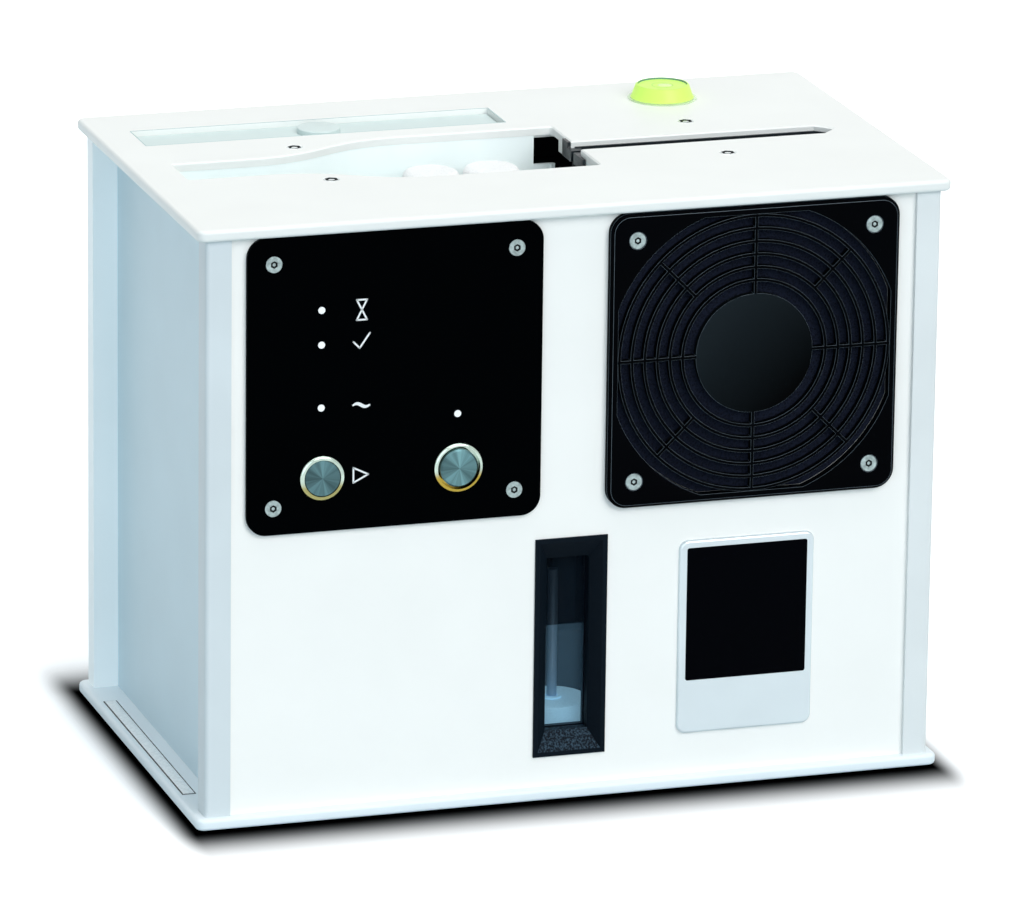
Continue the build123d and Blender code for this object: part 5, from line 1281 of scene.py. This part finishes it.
@dataclass
class WashBay:
    """Wash trough, microfibre rollers, their drive, and the record's wheels."""

    pile_rings: int = 56
    pile_steps: int = 96
    pile_depth: float = 0.55
    tuft: float = 2.2
    crown: float = 3.0
    crown_rings: int = 6
    top_rings: int = 7
    bore: float = 6.12
    bore_drop: float = 3.7
    bore_margin: float = 0.1

    def build(self) -> None:
        """Dresses the bay and makes the rollers' sleeves."""
        dress("slot_lining", WIPER_RUBBER, Softening.FINE)
        for node, finish in (
            ("wash_trough", TROUGH_ABS),
            ("spindle_bushes", BUSH_BRONZE),
            ("gear_plate", PLATE_METAL),
            ("roller_motor", MOTOR_STEEL),
            ("record_motor", MOTOR_STEEL),
            ("motor_pinion", GEAR_ACETAL),
            ("ultrasonic_transducers", PLATE_METAL),
            ("record_wheel_left", TYRE_RUBBER),
            ("record_wheel_right", TYRE_RUBBER),
        ):
            dress(node, finish)
        for place in ("front_left", "front_right", "rear_left", "rear_right"):
            dress(f"roller_spindle_{place}", GEAR_ACETAL)
            self.build_sleeve(place)

    def build_sleeve(self, place: str) -> None:
        """Makes one sleeve: a closed, crowned tube of pile whose tufts stand a little proud and sunken.

        Args:
            place: the roller's place.
        """
        node = f"roller_sleeve_{place}"
        low, high = corners(node)
        radius = (high.x - low.x) / 2 - self.pile_depth / 2
        top = high.z - low.z - self.pile_depth / 2
        crown, bore, bore_top = self.crown, self.bore, top - self.bore_drop
        arc = [math.pi / 2 * i / self.crown_rings for i in range(1, self.crown_rings + 1)]
        last = self.top_rings
        profile = [(0.0, bore_top), (bore, bore_top), (bore, 0.0), (radius, 0.0)]
        profile += [(radius, (top - crown) * i / self.pile_rings) for i in range(1, self.pile_rings + 1)]
        profile += [(radius - crown * (1 - math.cos(a)), top - crown * (1 - math.sin(a))) for a in arc]
        profile += [((radius - crown) * (1 - i / last), top) for i in range(1, last + 1)]
        part = turned(profile, self.pile_steps)
        bmesh.ops.remove_doubles(part, verts=part.verts, dist=SEAM)
        bmesh.ops.recalc_face_normals(part, faces=part.faces)
        part.normal_update()
        offset = middle(node)
        for point in part.verts:
            if point.co.xy.length > bore + self.bore_margin or point.co.z > bore_top + self.bore_margin:
                tuft = Vector((point.co.x + offset.x, point.co.y + offset.y, point.co.z)) / self.tuft
                lift = noise.noise(tuft)
                point.co += point.normal * lift * self.pile_depth / 2
        shape = Shape()
        shape.add(part, shift(offset.x, offset.y, low.z))
        name, body = f"microfibre_sleeve_{place}", f"roller_{place}"
        shape.piece(name, [ROLLER_PILE], "roller_cloth", body, [node], sharp=60)


@dataclass
class FilterCover:
    """Filter tray, its fleece and its lid."""

    rim_width: float = 0.45
    rim_height: float = 0.03
    rim_gap: float = 0.3
    fleece_gap: float = 0.1
    fleece_corner: float = 1.0
    fleece_edge: float = 0.8

    def build(self) -> None:
        """Dresses the tray and lid, and makes the fleece and a line of painted shade round the recess."""
        dress("filter_tray", TRAY_ABS)
        dress("filter_lid", LID_ABS, Softening.FINE, PAINTED_EDGE_SHADE)
        low, high = corners("filter_lid")
        x, y = (high.x - low.x) / 2 + self.rim_gap, (high.y - low.y) / 2 + self.rim_gap
        # A thin line of painted shade round the recess, where its edge lies in shade.
        line = stroke([(-x, -y), (x, -y), (x, y), (-x, y)], self.rim_width, self.rim_height, closed=True)
        place = shift((low.x + high.x) / 2, (low.y + high.y) / 2, corners("top_plate")[1].z)
        Shape().add(line, place).piece("recess_painted_shade_line", [PAINTED_EDGE_SHADE], "plates", sharp=80)
        low, high = corners("filter_cartridge")
        size, gap = high - low, self.fleece_gap
        fleece = slab(size.x - 2 * gap, size.y - 2 * gap, size.z - gap, self.fleece_corner, self.fleece_edge)
        shape = Shape()
        shape.add(fleece, shift((low.x + high.x) / 2, (low.y + high.y) / 2, low.z))
        replaced = ["filter_cartridge"]
        pad = shape.piece("filter_fleece_block", [FILTER_FLEECE], "filter_foam", replaced=replaced)


@dataclass
class Level:
    """Round bubble level on the top plate: clear lime body with a shallow eye and a bubble.

    The outline runs from the flange's edge, as (in from the rim, height), by the foot and the waist, as
    (radius, height), over the shoulder, as (radius, down from the top). The bubble's is (share of its radius,
    height over the eye).
    """

    flange_edge: tuple[tuple[float, float], ...] = ((0.3, 0.0), (0.0, 0.3), (0.25, 0.75))
    foot: tuple[float, float] = (13.9, 0.85)
    waist: tuple[float, float] = (13.6, 1.1)
    shoulder: tuple[tuple[float, float], ...] = ((11.9, 0.7), (11.4, 0.15), (11.25, 0.0))
    steps: int = 64
    eye_radius: float = 10.9
    eye_depth: float = 0.7
    eye_taper: float = 0.15
    ring_radius: float = 4.6
    ring_half: float = 0.18
    ring_heights: tuple[float, float] = (0.01, 0.05)
    bubble_radius: float = 3.1
    bubble_outline: tuple[tuple[float, float], ...] = ((0.0, 0.35), (0.6, 0.28), (1.0, 0.02), (0.0, 0.02))
    bubble_place: tuple[float, float] = (0.9, -0.6)
    bubble_steps: int = 40

    def build(self) -> None:
        """Makes the level in place of its CAD node."""
        low, high = corners("spirit_level")
        centre = (low + high) / 2
        rim = (high.x - low.x) / 2
        height = high.z - low.z
        eye_edge = (self.eye_radius, height)
        eye_foot = (self.eye_radius - self.eye_taper, height - self.eye_depth)
        flange = [(0, 0), *((rim - inward, up) for inward, up in self.flange_edge), self.foot]
        body = [self.foot, self.waist, *((radius, height - down) for radius, down in self.shoulder), eye_edge]
        shape = Shape()
        base = shift(centre.x, centre.y, low.z)
        wall, eye = [eye_edge, eye_foot], [eye_foot, (0, eye_foot[1])]
        for profile, material in ((flange, 1), (body, 0), (wall, 2), (eye, 0)):
            shape.add(turned(profile, self.steps), base, material)
        bmesh.ops.remove_doubles(shape.gathered, verts=shape.gathered.verts, dist=SEAM * MM)
        bmesh.ops.recalc_face_normals(shape.gathered, faces=shape.gathered.faces)
        inner, outer = self.ring_radius - self.ring_half, self.ring_radius + self.ring_half
        bottom, top = (eye_foot[1] + up for up in self.ring_heights)
        ring = [(inner, bottom), (inner, top), (outer, top), (outer, bottom), (inner, bottom)]
        shape.add(turned(ring, self.steps), base, 3)
        bubble = [(self.bubble_radius * share, eye_foot[1] + up) for share, up in self.bubble_outline]
        shape.add(turned(bubble, self.bubble_steps), base @ shift(*self.bubble_place, 0), 4)
        shape.piece(
            "bubble_level",
            [LEVEL_LIME, LEVEL_FLANGE, LEVEL_WALL, LEVEL_MARK, LEVEL_BUBBLE],
            "spirit_level",
            replaced=["spirit_level"],
        )


@dataclass
class BadgePlate:
    """Domed silver plate with a black field; it carries no words."""

    inset: float = 3.2
    field_share: float = 0.686
    field_thickness: float = 0.12
    field_corner: float = 1.0
    field_edge: float = 0.05

    def build(self) -> None:
        """Dresses the plate and lays the field on it."""
        dress("badge_plate", BADGE_METAL)
        low, high = corners("badge_plate")
        size = high - low
        height = size.z * self.field_share
        shape = Shape()
        width = size.x - 2 * self.inset
        black = slab(width, height, self.field_thickness, self.field_corner, self.field_edge)
        place = shift((low.x + high.x) / 2, low.y, high.z - self.inset - height / 2) @ Facing.FRONT.turn()
        shape.add(black, place)
        shape.piece("badge_field", [BADGE_FIELD], "badge")


@dataclass
class MainsSide:
    """Mains inlet with its rocker switch, and the power supply inside."""

    def build(self) -> None:
        """Dresses the inlet, its rocker and the supply."""
        dress("power_inlet", INLET_NYLON, Softening.FINE)
        dress("power_rocker", ROCKER_GLOSS, Softening.FINE)
        dress("power_supply", SUPPLY_METAL)


@dataclass
class Studio:
    """Pale floor with a painted contact shadow, soft lamps, world and camera."""

    camera_place: Point = (-1041.65, -3258.55, 1145.37)
    camera_right: Point = (0.9531871, -0.3021350, 0.0121974)
    camera_down: Point = (-0.0747862, -0.2746391, -0.9586347)
    lens: float = 289.39
    sensor: float = 36.0
    far: float = 100.0
    floor_size: float = 12000.0
    floor_colour: str = "#FFFFFF"
    # Place and spread of the contact shadow that the floor paints round the base plate.
    painted_shadow_shift: tuple[float, float] = (2.8, 11.6)
    painted_shadow_reach: tuple[float, float] = (9.3, 27.6)
    paper_glow: float = 0.35
    lamps: tuple[tuple[str, Point, float, float, str], ...] = (
        ("key_light", (0.35, -1.0, 0.75), 40.0, 0.56, "#FFFFFF"),
        ("top_light", (0.0, 0.15, 1.0), 60.0, 0.42, "#FFFFFF"),
        ("left_fill", (-1.0, -1.6, 0.4), 50.0, 0.25, "#DCEEFF"),
    )
    world_light: float = 0.30
    world_colour: str = "#EAF5F8"
    bounce_colour: str = "#C2D3D9"

    def build(self) -> None:
        """Makes the studio."""
        self.build_floor()
        self.build_world()
        for name, towards, spread, level, colour in self.lamps:
            self.build_lamp(name, towards, spread, level, colour)
        self.build_camera()
        bpy.context.scene.view_settings.view_transform = "Standard"

    def build_floor(self) -> None:
        """Makes the floor: white, with a contact shadow painted round the base plate."""
        mesh = bpy.data.meshes.new("floor")
        plane = bmesh.new()
        bmesh.ops.create_grid(plane, x_segments=1, y_segments=1, size=self.floor_size * MM / 2)
        plane.to_mesh(mesh)
        plane.free()
        floor = bpy.data.objects.new("floor", mesh)
        bpy.context.scene.collection.objects.link(floor)
        paper = bpy.data.materials.new("white_paper")
        paper.use_nodes = True
        tree = paper.node_tree
        tree.nodes.clear()
        seen = self.seen_directly(tree)
        # clear is 0 in the painted shadow and 1 away from the machine.
        clear = self.outside_painted_shadow(tree)
        shown = {"data_type": "RGBA", 6: linear("#000000"), 7: linear(self.floor_colour)}
        white = add_node(tree, "ShaderNodeMix", shown, {0: clear})
        bounced = {"data_type": "RGBA", 6: linear(self.bounce_colour)}
        colour = add_node(tree, "ShaderNodeMix", bounced, {0: seen, 7: white.outputs[2]})
        sheet = add_node(tree, "ShaderNodeBsdfDiffuse", {"Roughness": 0.9}, {"Color": colour.outputs[2]})
        strength = add_node(tree, "ShaderNodeMapRange", {"To Max": self.paper_glow}, {"Value": seen})
        glow_links = {"Color": white.outputs[2], "Strength": strength.outputs["Result"]}
        glow = add_node(tree, "ShaderNodeEmission", links=glow_links)
        shaders = {0: sheet.outputs["BSDF"], 1: glow.outputs["Emission"]}
        both = add_node(tree, "ShaderNodeAddShader", links=shaders)
        add_node(tree, "ShaderNodeOutputMaterial", links={"Surface": both.outputs["Shader"]})
        mesh.materials.append(paper)

    def outside_painted_shadow(self, tree: Tree) -> Socket:
        """Makes the painted contact shadow: 0 under the base plate, rising to 1 with the distance from its
        edge.

        The feet lift the plate, so the painted shadow lies a little behind it and to the right.

        Args:
            tree: the floor's node tree.

        Returns:
            The socket that gives it.
        """
        low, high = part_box("base_plate")
        centre, half = (low + high) / 2, (high - low) / 2
        right, back = (size * MM for size in self.painted_shadow_shift)
        across, along = (size * MM for size in self.painted_shadow_reach)
        place = add_node(tree, "ShaderNodeTexCoord").outputs["Object"]
        for operation, value in (
            ("SUBTRACT", (centre.x + right, centre.y + back, 0)),
            ("ABSOLUTE", (0, 0, 0)),
            ("SUBTRACT", (half.x, half.y, 0)),
            ("MAXIMUM", (0, 0, 0)),
            ("DIVIDE", (across, along, 1)),
        ):
            step = {"operation": operation, 1: value}
            place = add_node(tree, "ShaderNodeVectorMath", step, {0: place}).outputs["Vector"]
        inward = {"operation": "MULTIPLY", 1: (-1, -1, 0)}
        negative = add_node(tree, "ShaderNodeVectorMath", inward, {0: place})
        product = {0: place, 1: negative.outputs["Vector"]}
        square = add_node(tree, "ShaderNodeVectorMath", {"operation": "DOT_PRODUCT"}, product)
        dark = add_node(tree, "ShaderNodeMath", {"operation": "EXPONENT"}, {0: square.outputs["Value"]})
        rest = {"operation": "SUBTRACT", 0: 1.0}
        return add_node(tree, "ShaderNodeMath", rest, {1: dark.outputs["Value"]}).outputs["Value"]

    @staticmethod
    def seen_directly(tree: Tree) -> Socket:
        """Tells rays that show the floor or world from those that light the machine by them.

        Args:
            tree: the floor's or world's node tree.

        Returns:
            A socket: 1 for what the camera sees itself, in a reflection or through glass, and 0 otherwise.
        """
        path = add_node(tree, "ShaderNodeLightPath")
        shown = {0: path.outputs["Is Camera Ray"], 1: path.outputs["Is Glossy Ray"]}
        mirrored = add_node(tree, "ShaderNodeMath", {"operation": "MAXIMUM"}, shown)
        through = {0: mirrored.outputs["Value"], 1: path.outputs["Is Transmission Ray"]}
        return add_node(tree, "ShaderNodeMath", {"operation": "MAXIMUM"}, through).outputs["Value"]

    def build_world(self) -> None:
        """Makes a world that is white to the camera and in reflections, and a soft light otherwise."""
        world = bpy.data.worlds.new("studio_white")
        world.use_nodes = True
        tree = world.node_tree
        tree.nodes.clear()
        seen = self.seen_directly(tree)
        levels = {"To Min": self.world_light, "To Max": 1.0}
        strength = add_node(tree, "ShaderNodeMapRange", levels, {"Value": seen})
        colours = {"data_type": "RGBA", 6: linear(self.world_colour), 7: linear("#FFFFFF")}
        tint = add_node(tree, "ShaderNodeMix", colours, {0: seen})
        sources = {"Color": tint.outputs[2], "Strength": strength.outputs["Result"]}
        light = add_node(tree, "ShaderNodeBackground", links=sources)
        add_node(tree, "ShaderNodeOutputWorld", links={"Surface": light.outputs["Background"]})
        bpy.context.scene.world = world

    def build_lamp(self, name: str, towards: Point, spread: float, level: float, colour: str) -> None:
        """Makes one soft lamp, far enough away to light everything evenly.

        Args:
            name: the lamp's name.
            towards: direction from the machine to the lamp.
            spread: the angle that the lamp fills, in degrees.
            level: how bright white paper gets that faces the lamp; 1 is white.
            colour: sRGB hex.
        """
        data = bpy.data.lights.new(name, "SUN")
        data.angle = math.radians(spread)
        data.energy = math.pi * level
        data.color = linear(colour)[:3]
        lamp = bpy.data.objects.new(name, data)
        lamp.location = Vector(towards)
        lamp.rotation_mode = "QUATERNION"
        lamp.rotation_quaternion = (-Vector(towards)).to_track_quat("-Z", "Y")
        bpy.context.scene.collection.objects.link(lamp)

    def build_camera(self) -> None:
        """Makes the camera."""
        data = bpy.data.cameras.new("camera")
        data.lens = self.lens
        data.sensor_width = self.sensor
        data.clip_end = self.far
        camera = bpy.data.objects.new("camera", data)
        right, up = Vector(self.camera_right).normalized(), -Vector(self.camera_down).normalized()
        back = right.cross(up)
        turn = Matrix((right, up, back)).transposed()
        camera.matrix_world = Matrix.Translation(Vector(self.camera_place) * MM) @ turn.to_4x4()
        bpy.context.scene.collection.objects.link(camera)
        bpy.context.scene.camera = camera


def main() -> None:
    """Builds everything in order."""
    logging.basicConfig(level=logging.INFO, format="%(message)s")
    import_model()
    bpy.context.view_layer.update()
    for part in (
        Casing(),
        ControlPanel(),
        FanGroup(),
        WaterSide(),
        WashBay(),
        FilterCover(),
        Level(),
        BadgePlate(),
        MainsSide(),
        Studio(),
    ):
        part.build()
        LOG.info("built %s", type(part).__name__)
    bpy.context.view_layer.update()


if __name__ == "__main__":
    main()
